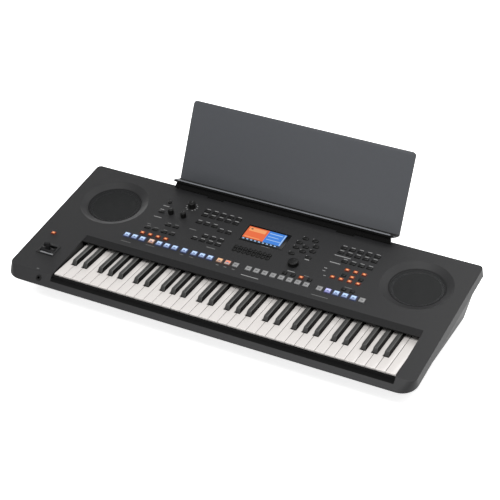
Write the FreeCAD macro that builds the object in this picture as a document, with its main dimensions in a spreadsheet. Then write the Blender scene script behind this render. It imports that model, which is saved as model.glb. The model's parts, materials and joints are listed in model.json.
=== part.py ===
import FreeCAD, Part
import math
import operator
import os

import Sketcher
from FreeCAD import Placement, Rotation, Vector

# Driving dimensions, in millimetres and degrees. "along" sizes run up the sloping panel from its
# front, "drop" and "depth" sizes run down from it, and x sizes count from the middle of the case.
SIZES = {
    # Case on its feet
    "case_width": 1017.0,
    "case_depth": 431.0,
    "case_height": 139.0,
    "top_slope": 7.9,
    "wall": 3.0,
    "skirt_depth": 20.0,
    "side_draft": 3.0,
    "front_crease": 22.2,
    "front_toe": 1.0,
    "front_wall": 4.6,
    "front_corner_top": 14.0,
    "front_corner_low": 38.0,
    "rear_corner_top": 11.0,
    "rear_corner_low": 13.0,
    # Lower case
    "foot_height": 6.0,
    "foot_radius": 11.0,
    "foot_spread": 388.0,
    "foot_front": 112.0,
    "foot_rear": 390.0,
    "base_front": 87.0,
    "base_front_wall": 4.8,
    "base_rear_gap": 7.0,
    "base_half": 478.0,
    "base_half_rear": 456.0,
    "base_cut_start": 402.0,
    "base_side_flare": 0.22,
    "base_front_flare": 1.5,
    "rim_groove": 1.2,
    "rim_width": 21.0,
    "rim_thick": 2.5,
    # Keyboard
    "key_pitch": 23.5,
    "keys_shift": 36.5,
    "key_gap": 1.0,
    "well_gap": 2.5,
    "key_front": 28.7,
    "white_length": 217.0,
    "white_depth": 13.0,
    "key_skin": 2.2,
    "key_wall": 1.8,
    "black_setback": 50.0,
    "black_reach": 101.0,
    "black_width": 12.2,
    "black_top_width": 9.6,
    "black_rise": 11.2,
    "black_slope_run": 7.0,
    "key_travel": 2.6,
    "pivot_inset": 8.0,
    "pivot_drop": 7.5,
    "bead_radius": 3.0,
    "pivot_clearance": 0.3,
    "rib_place": 106.0,
    "rib_thick": 3.0,
    "rail_drop": 10.4,
    "slip_along": 26.3,
    "slip_thick": 2.2,
    "slip_drop": 2.8,
    "fallboard_along": 159.2,
    "fallboard_rear": 180.0,
    "fallboard_drop": 2.2,
    "fallboard_thick": 2.4,
    # Keybed frame
    "frame_foot": 10.0,
    "frame_front": 33.0,
    "frame_leg": 78.0,
    "frame_thick": 2.5,
    "frame_web": 3.0,
    "deck_drop": 32.0,
    "felt_thick": 3.0,
    "felt_width": 10.0,
    "contact_board_width": 50.0,
    "board_thick": 1.6,
    "rubber_base": 2.0,
    "rubber_width": 30.0,
    "dome_length": 14.0,
    "dome_width": 7.0,
    # Speakers
    "speaker_x": 392.0,
    "speaker_along": 315.0,
    "dish_radius": 83.0,
    "grille_radius": 65.0,
    "dish_depth": 8.0,
    "grille_thick": 1.6,
    "grille_lip": 4.0,
    "cone_radius": 52.0,
    "cone_neck": 16.0,
    "cone_depth": 20.0,
    "cone_thick": 1.2,
    "basket_flange": 70.0,
    "basket_depth": 32.0,
    "basket_thick": 1.5,
    "magnet_radius": 38.0,
    "magnet_depth": 16.0,
    # Buttons
    "button_gap": 0.4,
    "button_travel": 0.8,
    "button_rest_gap": 0.2,
    "button_proud": 2.2,
    "button_flange": 1.2,
    "pad_wide": 13.6,
    "pad_deep": 13.6,
    "lamp_wide": 10.0,
    "lamp_deep": 8.0,
    "bar_wide": 14.4,
    "bar_deep": 7.0,
    "arrow_wide": 9.2,
    "arrow_deep": 10.6,
    "arrow_point": 3.6,
    "oval_wide": 14.6,
    "oval_deep": 8.6,
    "oval_cut": 2.6,
    "standby_radius": 5.0,
    # Button rows and columns
    "pad_pitch": 20.7,
    "pad_row": 218.0,
    "intro_x": -300.8,
    "main_x": -235.0,
    "break_x": -147.2,
    "ending_x": -121.4,
    "start_x": -54.8,
    "registration_x": 19.2,
    "multi_pad_x": 197.0,
    "lamp_pitch": 20.8,
    "bar_pitch": 20.7,
    "accompaniment_x": -270.5,
    "accompaniment_row": 238.6,
    "tempo_x": -270.0,
    "tempo_right_x": -225.0,
    "tempo_row": 260.6,
    "transpose_x": -229.0,
    "transpose_row": 287.6,
    "style_x": -166.0,
    "style_row_1": 370.0,
    "style_row_2": 353.6,
    "style_row_3": 325.0,
    "style_short_x": -104.0,
    "style_short_row": 315.4,
    "song_x": -148.0,
    "song_row": 267.0,
    "song_top_x": -128.0,
    "song_top_row": 284.0,
    "arrow_pitch": 12.2,
    "arrow_row": 266.4,
    "arrow_step": 13.2,
    "nav_left_x": 86.0,
    "nav_mid_x": 106.6,
    "nav_right_x": 128.4,
    "nav_top_left_x": 94.0,
    "nav_top_right_x": 118.4,
    "nav_top_row": 366.8,
    "nav_row_1": 348.4,
    "nav_row_2": 329.8,
    "nav_row_3": 306.0,
    "nav_mid_row": 339.0,
    "nav_mid_step": 17.6,
    "bank_x": 101.6,
    "bank_row": 236.4,
    "voice_x": 189.4,
    "voice_row_1": 369.6,
    "voice_row_2": 351.6,
    "voice_row_3": 325.2,
    "effect_x": 228.4,
    "effect_row": 300.4,
    "part_x": 207.4,
    "part_row": 265.6,
    "part_top_row": 280.6,
    "pad_control_x": 247.6,
    "pad_control_row": 236.4,
    "standby_x": -267.0,
    "standby_row": 366.8,
    "modulation_x": -466.6,
    "modulation_row": 155.4,
    # Knobs and the data dial
    "knob_radius": 6.6,
    "knob_height": 13.0,
    "knob_shaft": 3.0,
    "shaft_reach": 8.0,
    "shaft_clearance": 0.05,
    "knob_lift": 0.3,
    "live_row": 329.4,
    "live_left_x": -243.6,
    "live_right_x": -210.0,
    "volume_x": -209.0,
    "volume_row": 371.0,
    "volume_radius": 8.6,
    "dial_x": 106.4,
    "dial_row": 271.8,
    "dial_radius": 12.4,
    "dial_height": 10.0,
    "pot_size": 10.0,
    # Display
    "display_x": 4.6,
    "display_along": 335.4,
    "lens_wide": 109.0,
    "lens_deep": 60.0,
    "lens_thick": 1.6,
    "lens_lip": 2.4,
    # Boards under the panel
    "panel_board_depth": 12.0,
    "board_left_x": -318.0,
    "board_right_x": 318.0,
    "board_split_x": 12.2,
    "board_front": 204.0,
    "board_rear": 384.0,
    "board_gap": 0.6,
    "boss_size": 6.0,
    "boss_left_x": -313.0,
    "boss_mid_x": -64.0,
    "boss_split_x": 3.0,
    "boss_bank_x": 180.6,
    "boss_nav_x": 69.0,
    "boss_right_x": 313.0,
    "boss_front_row": 209.6,
    "boss_rear_row": 377.0,
    "small_board_wide": 32.0,
    "small_board_deep": 24.0,
    # Joystick
    "stick_x": -446.0,
    "stick_along": 98.0,
    "stick_window_x": 36.0,
    "stick_window_along": 27.0,
    "stick_rim": 5.0,
    "stick_rim_height": 1.6,
    "stick_wall": 2.2,
    "stick_cup_depth": 22.0,
    "barrel_radius": 10.0,
    "barrel_drop": 7.0,
    "barrel_end_gap": 0.5,
    "stick_pin": 2.0,
    "stick_pin_gap": 0.06,
    "lever_thick": 6.0,
    "lever_width": 7.0,
    "lever_height": 20.0,
    "lever_slot": 14.5,
    "lever_gap": 0.3,
    # Sockets
    "jack_bore": 3.2,
    "jack_barrel": 5.4,
    "jack_nut": 7.0,
    "jack_nut_thick": 1.2,
    "jack_depth": 24.0,
    "jack_bore_depth": 20.0,
    "jack_fit": 0.2,
    "headphone_x": -419.0,
    "headphone_share": 0.5,
    "rear_jack_x": -60.0,
    "rear_jack_pitch": 26.0,
    "rear_jack_rise": 14.0,
    "usb_x": 78.0,
    "usb_pitch": 30.0,
    "usb_wide": 13.6,
    "usb_tall": 7.4,
    "usb_depth": 17.0,
    "usb_wall": 1.2,
    "dc_x": -130.0,
    "dc_bore": 2.9,
    # Boards in the lower case
    "main_board_wide": 300.0,
    "main_board_deep": 96.0,
    "main_board_rise": 14.0,
    "post_size": 8.0,
    "power_board_x": -230.0,
    "power_board_wide": 120.0,
    # Music rest
    "rest_width": 577.0,
    "rest_height": 195.0,
    "rest_thick": 5.0,
    "rest_lean": 23.0,
    "rest_overhang": 24.0,
    "rest_rise": 6.4,
    "rest_corner": 9.0,
    "tray_depth": 40.0,
    "tray_thick": 4.0,
    "tray_lip": 3.0,
    "leg_x": 170.0,
    "leg_width": 44.0,
    "leg_thick": 6.0,
    "leg_place": 27.0,
    "leg_length": 32.0,
    "leg_gap": 0.4,
    "apron_inset": 6.0,
    "apron_taper": 20.0,
}

OCTAVES = 5
WHITES = 7 * OCTAVES + 1
WHITE_TAILS = {"c": 0, "d": 2, "e": 4, "f": 5, "g": 7, "a": 9, "b": 11}
BLACK_TAILS = {"c_sharp": 1, "d_sharp": 3, "f_sharp": 6, "g_sharp": 8, "a_sharp": 10}
LOW_GROUP = 5
ARROW_COLUMNS = 8
BATCH = 6


class Dim:
    """A number together with the expression that gives it, so each size is written only once."""

    def __init__(self, value, text):
        self.value = float(value)
        self.text = text

    def __add__(self, other):
        return join(self, other, "+", operator.add)

    def __radd__(self, other):
        return join(other, self, "+", operator.add)

    def __sub__(self, other):
        return join(self, other, "-", operator.sub)

    def __rsub__(self, other):
        return join(other, self, "-", operator.sub)

    def __mul__(self, other):
        return join(self, other, "*", operator.mul)

    def __rmul__(self, other):
        return join(other, self, "*", operator.mul)

    def __truediv__(self, other):
        return join(self, other, "/", operator.truediv)

    def __neg__(self):
        return Dim(-self.value, f"(-1 * {self.text})")


def dim(thing):
    return thing if isinstance(thing, Dim) else Dim(thing, f"({float(thing)})")


def join(first, second, sign, work):
    first, second = dim(first), dim(second)
    return Dim(work(first.value, second.value), f"({first.text} {sign} {second.text})")


def sine(angle):
    return Dim(math.sin(math.radians(angle.value)), f"sin({angle.text} * 1 deg)")


def cosine(angle):
    return Dim(math.cos(math.radians(angle.value)), f"cos({angle.text} * 1 deg)")


def slope_angle(rise, run):
    rise, run = dim(rise), dim(run)
    value = math.degrees(math.atan2(rise.value, run.value))
    return Dim(value, f"(atan2({rise.text}; {run.text}) / (1 deg))")


doc = FreeCAD.newDocument("arranger_keyboard")
sheet = doc.addObject("Spreadsheet::Sheet", "sizes")


def fill_sheet():
    """Writes every driving dimension into the sheet and returns them as bound sizes."""
    bound = {}
    for row, (name, value) in enumerate(SIZES.items(), start=1):
        sheet.set(f"A{row}", name)
        sheet.set(f"B{row}", str(value))
        sheet.setAlias(f"B{row}", name)
        bound[name] = Dim(value, f"sizes.{name}")
    doc.recompute()
    return bound


class Named:
    """Driving dimensions by name."""

    def __init__(self, bound):
        self.__dict__.update(bound)


d = Named(fill_sheet())

# Places worked out from the driving dimensions
SINE, COSINE = sine(d.top_slope), cosine(d.top_slope)
HALF = d.case_width / 2
TOP_HALF = HALF - d.side_draft
PANEL_END = (d.case_depth - d.skirt_depth * SINE) / COSINE
PANEL_Z = d.case_height - PANEL_END * SINE
CASE_FRONT = d.skirt_depth * SINE - d.front_toe * COSINE
FRONT_RUN = (d.front_crease + d.front_toe) / d.skirt_depth
FRONT_ANGLE = slope_angle(d.skirt_depth, d.front_crease + d.front_toe)
FLOOR = d.foot_height + d.wall
KEYS_LEFT = d.keys_shift - d.key_pitch * (WHITES / 2)
KEYS_RIGHT = d.keys_shift + d.key_pitch * (WHITES / 2)
OCTAVE = d.key_pitch * 7
KEY_TOP = PANEL_Z + d.key_front * SINE / COSINE
KEY_BOTTOM = KEY_TOP - d.white_depth
KEY_END = d.key_front + d.white_length
PIVOT_Y = KEY_END - d.pivot_inset
PIVOT_Z = KEY_TOP - d.pivot_drop
DECK = KEY_TOP - d.deck_drop
RIB_Y = d.key_front + d.rib_place
WELL_LEFT = KEYS_LEFT - d.well_gap
WELL_RIGHT = KEYS_RIGHT + d.well_gap
UNDER_PANEL = -d.wall - d.button_rest_gap
PANEL_BOARD = -d.panel_board_depth
REAR_WALL = d.case_depth - d.base_rear_gap
REST_Y = d.case_depth + d.rest_overhang
REST_Z = d.case_height + d.rest_rise
REST_SINE, REST_COSINE = sine(d.rest_lean), cosine(d.rest_lean)
REST_BACK = REST_Y + d.rest_height * REST_SINE + d.rest_thick * REST_COSINE
ORIGIN_Y = (CASE_FRONT + REST_BACK) / 2
MAIN_BOARD_Z = FLOOR + d.main_board_rise
JACK_Z = MAIN_BOARD_Z + d.board_thick + d.rear_jack_rise
# The legs of the music rest cross the panel this far up it
LEG_ANGLE = d.rest_lean + d.top_slope
LEG_TOP_Y = REST_Y - REST_COSINE * d.leg_place
LEG_TOP_Z = REST_Z + REST_SINE * d.leg_place
LEG_V = LEG_TOP_Y * COSINE + (LEG_TOP_Z - PANEL_Z) * SINE
LEG_W = (LEG_TOP_Z - PANEL_Z) * COSINE - LEG_TOP_Y * SINE
LEG_LEAN = sine(LEG_ANGLE) / cosine(LEG_ANGLE)
SLOT_REAR = LEG_V - LEG_W * LEG_LEAN + d.leg_gap
SLOT_FRONT = SLOT_REAR - d.leg_gap * 2 - d.leg_thick / cosine(LEG_ANGLE) - d.wall * LEG_LEAN
# How far below the tray of the music rest its legs' rear faces reach the panel
APRON_DROP = (REST_Z + REST_SINE * d.leg_place - PANEL_Z - LEG_TOP_Y * SINE / COSINE) / (
    REST_COSINE - REST_SINE * SINE / COSINE)
# The headphone socket stands part of the way up the sloping front
HEADPHONE_W = -d.skirt_depth * d.headphone_share
HEADPHONE_V = d.front_crease - FRONT_RUN * d.skirt_depth * d.headphone_share
BOSS_SIDE = (d.small_board_wide - d.boss_size) / 2
BOSSES = [
    (d.boss_left_x, d.boss_front_row), (d.boss_left_x, d.boss_rear_row),
    (d.boss_mid_x, d.boss_rear_row), (d.boss_split_x, d.boss_front_row),
    (d.boss_bank_x, d.boss_front_row), (d.boss_nav_x, d.boss_rear_row),
    (d.boss_right_x, d.boss_front_row), (d.boss_right_x, d.boss_rear_row),
    (d.modulation_x - BOSS_SIDE, d.modulation_row), (d.modulation_x + BOSS_SIDE, d.modulation_row),
]
FEET = [
    (d.foot_spread * side, y) for side in (-1, 1) for y in (d.foot_front, d.foot_rear)
]
JACKS = [d.rear_jack_x + d.rear_jack_pitch * i for i in range(4)]
USBS = [d.usb_x + d.usb_pitch * i for i in range(2)]
MAIN_REAR = REAR_WALL - d.wall - d.jack_fit
MAIN_LEFT, MAIN_RIGHT = -d.main_board_wide / 2, d.main_board_wide / 2
POWER_LEFT = d.power_board_x - d.power_board_wide / 2
POWER_RIGHT = d.power_board_x + d.power_board_wide / 2

bodies = []


def bind(thing, prop, size):
    thing.setExpression(prop, dim(size).text)


def turn(thing, prop, angle):
    """Turns a placement about X by a bound angle."""
    setattr(thing, prop, Placement(Vector(), Rotation(Vector(1, 0, 0), angle.value)))
    bind(thing, f"{prop}.Rotation.Angle", angle)


def new_body(label, tilted=False):
    """A body in the case frame, or in the frame of the sloping panel."""
    body = doc.addObject("PartDesign::Body", label)
    body.Label = label
    body.AllowCompound = True
    if tilted:
        turn(body, "Placement", d.top_slope)
        bind(body, "Placement.Base.z", PANEL_Z)
    bind(body, "Placement.Base.y", -ORIGIN_Y)
    bodies.append(body)
    return body


def origin_item(body, role):
    return next(item for item in body.Origin.OriginFeatures if item.Role == role)


def new_sketch(body, role="XY_Plane", offset=0, across=0, up=0, lean=None):
    sketch = body.newObject("Sketcher::SketchObject", f"{body.Name}_outline")
    sketch.AttachmentSupport = [(origin_item(body, role), "")]
    sketch.MapMode = "FlatFace"
    if lean is not None:
        turn(sketch, "AttachmentOffset", lean)
    for axis, size in (("x", across), ("y", up), ("z", offset)):
        bind(sketch, f"AttachmentOffset.Base.{axis}", size)
    return sketch


def add_fixed(sketch, constraints, fixed):
    """Adds constraints in one go; fixed ones come as (constraint, size) and are bound."""
    rows = sketch.addConstraint(constraints + [item for item, size in fixed])
    for row, (item, size) in zip(rows[len(constraints):], fixed):
        sketch.setExpression(f"Constraints[{row}]", size.text)


def at_point(edge, across, up, point=1):
    across, up = dim(across), dim(up)
    return [
        (Sketcher.Constraint("DistanceX", -1, 1, edge, point, across.value), across),
        (Sketcher.Constraint("DistanceY", -1, 1, edge, point, up.value), up),
    ]


def draw_polygon(sketch, points):
    first, count = sketch.GeometryCount, len(points)
    spots = [Vector(dim(a).value, dim(b).value, 0) for a, b in points]
    lines = [Part.LineSegment(spots[i], spots[(i + 1) % count]) for i in range(count)]
    sketch.addGeometry(lines, False)
    ties = [
        Sketcher.Constraint("Coincident", first + i, 2, first + (i + 1) % count, 1)
        for i in range(count)
    ]
    fixed = [tie for i, (a, b) in enumerate(points) for tie in at_point(first + i, a, b)]
    add_fixed(sketch, ties, fixed)


def draw_rectangle(sketch, left, right, low, high):
    draw_polygon(sketch, [(left, low), (right, low), (right, high), (left, high)])


def draw_circle(sketch, across, up, radius):
    across, up, radius = dim(across), dim(up), dim(radius)
    centre = Vector(across.value, up.value, 0)
    edge = sketch.addGeometry(Part.Circle(centre, Vector(0, 0, 1), radius.value), False)
    fixed = at_point(edge, across, up, 3)
    fixed.append((Sketcher.Constraint("Radius", edge, radius.value), radius))
    add_fixed(sketch, [], fixed)


def draw_rounded(sketch, half, low, high, low_radius, high_radius):
    """A rectangle, symmetrical about the middle, with one radius at its low corners and one above."""
    half, low, high = dim(half), dim(low), dim(high)
    first = sketch.GeometryCount
    corners = [(half, low, low_radius, -90), (half, high, high_radius, 0),
               (-half, high, high_radius, 90), (-half, low, low_radius, 180)]
    arcs = []
    for x, y, radius, start in corners:
        centre_x = x.value - math.copysign(radius.value, x.value)
        centre_y = y.value + (radius.value if y is low else -radius.value)
        circle = Part.Circle(Vector(centre_x, centre_y, 0), Vector(0, 0, 1), radius.value)
        arcs.append(Part.ArcOfCircle(circle, math.radians(start), math.radians(start + 90)))
    sketch.addGeometry(arcs, False)
    for i in range(4):
        here, there = arcs[i], arcs[(i + 1) % 4]
        sketch.addGeometry(Part.LineSegment(here.EndPoint, there.StartPoint), False)
    ties, fixed = [], []
    for i in range(4):
        line, arc, following = first + 4 + i, first + i, first + (i + 1) % 4
        ties.append(Sketcher.Constraint("Tangent", arc, 2, line, 1))
        ties.append(Sketcher.Constraint("Tangent", line, 2, following, 1))
    for i, (x, y, radius, start) in enumerate(corners):
        fixed.append((Sketcher.Constraint("Radius", first + i, radius.value), radius))
    right, top, left, bottom = (first + 4 + i for i in range(4))
    for line, kind in ((right, "Vertical"), (top, "Horizontal"), (left, "Vertical")):
        ties.append(Sketcher.Constraint(kind, line))
    fixed.append((Sketcher.Constraint("DistanceX", -1, 1, right, 1, half.value), half))
    fixed.append((Sketcher.Constraint("DistanceX", -1, 1, left, 1, -half.value), -half))
    fixed.append((Sketcher.Constraint("DistanceY", -1, 1, top, 1, high.value), high))
    fixed.append((Sketcher.Constraint("DistanceY", -1, 1, bottom, 1, low.value), low))
    add_fixed(sketch, ties, fixed)


def feature(body, kind, sketch, **settings):
    item = body.newObject(f"PartDesign::{kind}", f"{body.Name}_{kind.lower()}")
    item.Profile = sketch
    for name, value in settings.items():
        if isinstance(value, Dim):
            bind(item, name, value)
        else:
            setattr(item, name, value)
    body.Tip = item
    return item


def pad(body, sketch, length, **settings):
    return feature(body, "Pad", sketch, Length=dim(length), **settings)


def pocket(body, sketch, length, **settings):
    return feature(body, "Pocket", sketch, Length=dim(length), **settings)


def loft(body, kind, low, high):
    item = feature(body, kind, low, Ruled=True)
    item.Sections = [(high, [""])]
    return item


def revolve(body, sketch, kind="Revolution"):
    """Turns a profile about the upright line through its sketch's origin."""
    item = feature(body, kind, sketch)
    item.ReferenceAxis = (sketch, ["V_Axis"])
    item.Angle = 360.0
    return item


def repeat(body, originals, kind, **settings):
    item = body.newObject(f"PartDesign::{kind}", f"{body.Name}_{kind.lower()}")
    item.Originals = originals
    for name, value in settings.items():
        if isinstance(value, Dim):
            bind(item, name, value)
        else:
            setattr(item, name, value)
    body.Tip = item
    return item


def mirror(body, originals):
    return repeat(body, originals, "Mirrored", MirrorPlane=(origin_item(body, "YZ_Plane"), [""]))


def octaves(body, originals, count):
    """Repeats features up the keyboard, an octave apart."""
    axis = (origin_item(body, "X_Axis"), [""])
    span = OCTAVE * (count - 1)
    return repeat(body, originals, "LinearPattern", Direction=axis, Length=span, Occurrences=count)


def profile_sketch(body, x, along):
    """A sketch in the plane across the instrument, its origin on a given point of the panel."""
    return new_sketch(body, "XZ_Plane", offset=-dim(along), across=x)


def tail_edges(index):
    """Left and right edges of a key's rear part, in its octave, counted from C."""
    low_step = d.key_pitch * 3 / LOW_GROUP
    high_step = d.key_pitch * 4 / (12 - LOW_GROUP)
    low_end = d.key_pitch * 3

    def edge(step):
        return low_step * step if step <= LOW_GROUP else low_end + high_step * (step - LOW_GROUP)

    return KEYS_LEFT + edge(index), KEYS_LEFT + edge(index + 1)


def batches(shapes):
    """Splits the places of each shape into short runs, because a long sketch is slow to solve."""
    return [(shape, places[i:i + BATCH]) for shape, places in shapes for i in range(0, len(places), BATCH)]


def row(x, count, along, pitch):
    return [(x + pitch * i, along) for i in range(count)]


def octagon(x, y, wide, deep, cut):
    left, right, low, high = x - wide / 2, x + wide / 2, y - deep / 2, y + deep / 2
    return [(left + cut, low), (right - cut, low), (right, low + cut), (right, high - cut),
            (right - cut, high), (left + cut, high), (left, high - cut), (left, low + cut)]


def oblong(x, y, wide, deep):
    left, right, low, high = x - wide / 2, x + wide / 2, y - deep / 2, y + deep / 2
    return [(left, low), (right, low), (right, high), (left, high)]


def arrow(x, y, wide, deep, point, upward):
    """A five-sided button with a blunt point that shows which way it steps a value."""
    side = 1 if upward else -1
    base, shoulder, tip = y - deep / 2 * side, y + (deep / 2 - point) * side, y + deep / 2 * side
    return [(x - wide / 2, base), (x + wide / 2, base), (x + wide / 2, shoulder), (x, tip),
            (x - wide / 2, shoulder)]


def pad_shape(grow):
    return lambda x, y: oblong(x, y, d.pad_wide + grow * 2, d.pad_deep + grow * 2)


def lamp_shape(grow):
    return lambda x, y: oblong(x, y, d.lamp_wide + grow * 2, d.lamp_deep + grow * 2)


def bar_shape(grow):
    return lambda x, y: oblong(x, y, d.bar_wide + grow * 2, d.bar_deep + grow * 2)


def oval_shape(grow):
    return lambda x, y: octagon(x, y, d.oval_wide + grow * 2, d.oval_deep + grow * 2, d.oval_cut)


def arrow_up_shape(grow):
    return lambda x, y: arrow(x, y, d.arrow_wide + grow * 2, d.arrow_deep + grow * 2, d.arrow_point, True)


def arrow_down_shape(grow):
    return lambda x, y: arrow(x, y, d.arrow_wide + grow * 2, d.arrow_deep + grow * 2, d.arrow_point, False)


ARROW_X = -d.arrow_pitch * ((ARROW_COLUMNS - 1) / 2)
STYLE_SHORT = row(d.style_short_x, 2, d.style_short_row, d.bar_pitch)
NAVIGATION = [
    (d.nav_top_left_x, d.nav_top_row), (d.nav_top_right_x, d.nav_top_row),
    (d.nav_left_x, d.nav_row_1), (d.nav_left_x, d.nav_row_2), (d.nav_left_x, d.nav_row_3),
    (d.nav_mid_x, d.nav_mid_row), (d.nav_mid_x, d.nav_mid_row - d.nav_mid_step),
    (d.nav_right_x, d.nav_row_1), (d.nav_right_x, d.nav_row_2), (d.nav_right_x, d.nav_row_3),
]

# Button groups: for each node, the shapes it holds and where their middles lie on the panel
BUTTONS = {
    "style_section_buttons": [(pad_shape, row(d.intro_x, 3, d.pad_row, d.pad_pitch)
                               + row(d.main_x, 4, d.pad_row, d.pad_pitch)
                               + row(d.break_x, 1, d.pad_row, d.pad_pitch)
                               + row(d.ending_x, 3, d.pad_row, d.pad_pitch))],
    "start_stop_buttons": [(pad_shape, row(d.start_x, 3, d.pad_row, d.pad_pitch))],
    "registration_buttons": [(pad_shape, row(d.registration_x, 8, d.pad_row, d.pad_pitch))],
    "multi_pad_buttons": [(pad_shape, row(d.multi_pad_x, 6, d.pad_row, d.pad_pitch))],
    "accompaniment_buttons": [(lamp_shape, row(d.accompaniment_x, 4, d.accompaniment_row, d.lamp_pitch))],
    "tempo_buttons": [(bar_shape, row(d.tempo_x, 2, d.tempo_row, d.bar_pitch)
                       + row(d.tempo_right_x, 2, d.tempo_row, d.bar_pitch)
                       + row(d.transpose_x, 2, d.transpose_row, d.bar_pitch))],
    "style_category_buttons": [(bar_shape, row(d.style_x, 5, d.style_row_1, d.bar_pitch)
                                + row(d.style_x, 5, d.style_row_2, d.bar_pitch)
                                + row(d.style_x, 3, d.style_row_3, d.bar_pitch) + STYLE_SHORT)],
    "song_buttons": [(bar_shape, row(d.song_x, 4, d.song_row, d.bar_pitch)
                      + row(d.song_top_x, 3, d.song_top_row, d.bar_pitch))],
    "assign_buttons": [
        (arrow_down_shape, row(ARROW_X, ARROW_COLUMNS, d.arrow_row, d.arrow_pitch)),
        (arrow_up_shape, row(ARROW_X, ARROW_COLUMNS, d.arrow_row + d.arrow_step, d.arrow_pitch)),
    ],
    "navigation_buttons": [(oval_shape, NAVIGATION)],
    "bank_buttons": [(lamp_shape, row(d.bank_x, 4, d.bank_row, d.lamp_pitch))],
    "voice_category_buttons": [(bar_shape, row(d.voice_x, 5, d.voice_row_1, d.bar_pitch)
                                + row(d.voice_x, 5, d.voice_row_2, d.bar_pitch)
                                + row(d.voice_x + d.bar_pitch, 4, d.voice_row_3, d.bar_pitch))],
    "voice_effect_buttons": [(lamp_shape, row(d.effect_x, 3, d.effect_row, d.lamp_pitch))],
    "part_buttons": [(lamp_shape, row(d.part_x, 4, d.part_row, d.lamp_pitch)
                      + row(d.part_x + d.lamp_pitch, 3, d.part_top_row, d.lamp_pitch)
                      + row(d.pad_control_x, 2, d.pad_control_row, d.lamp_pitch))],
    "modulation_button": [(lamp_shape, [(d.modulation_x, d.modulation_row)])],
}

# Knobs by node: where each stands and how big it is
KNOBS = {
    "volume_knob": (d.volume_x, d.volume_row, d.volume_radius, d.knob_height),
    "live_knob_left": (d.live_left_x, d.live_row, d.knob_radius, d.knob_height),
    "live_knob_right": (d.live_right_x, d.live_row, d.knob_radius, d.knob_height),
    "data_dial": (d.dial_x, d.dial_row, d.dial_radius, d.dial_height),
}


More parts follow.
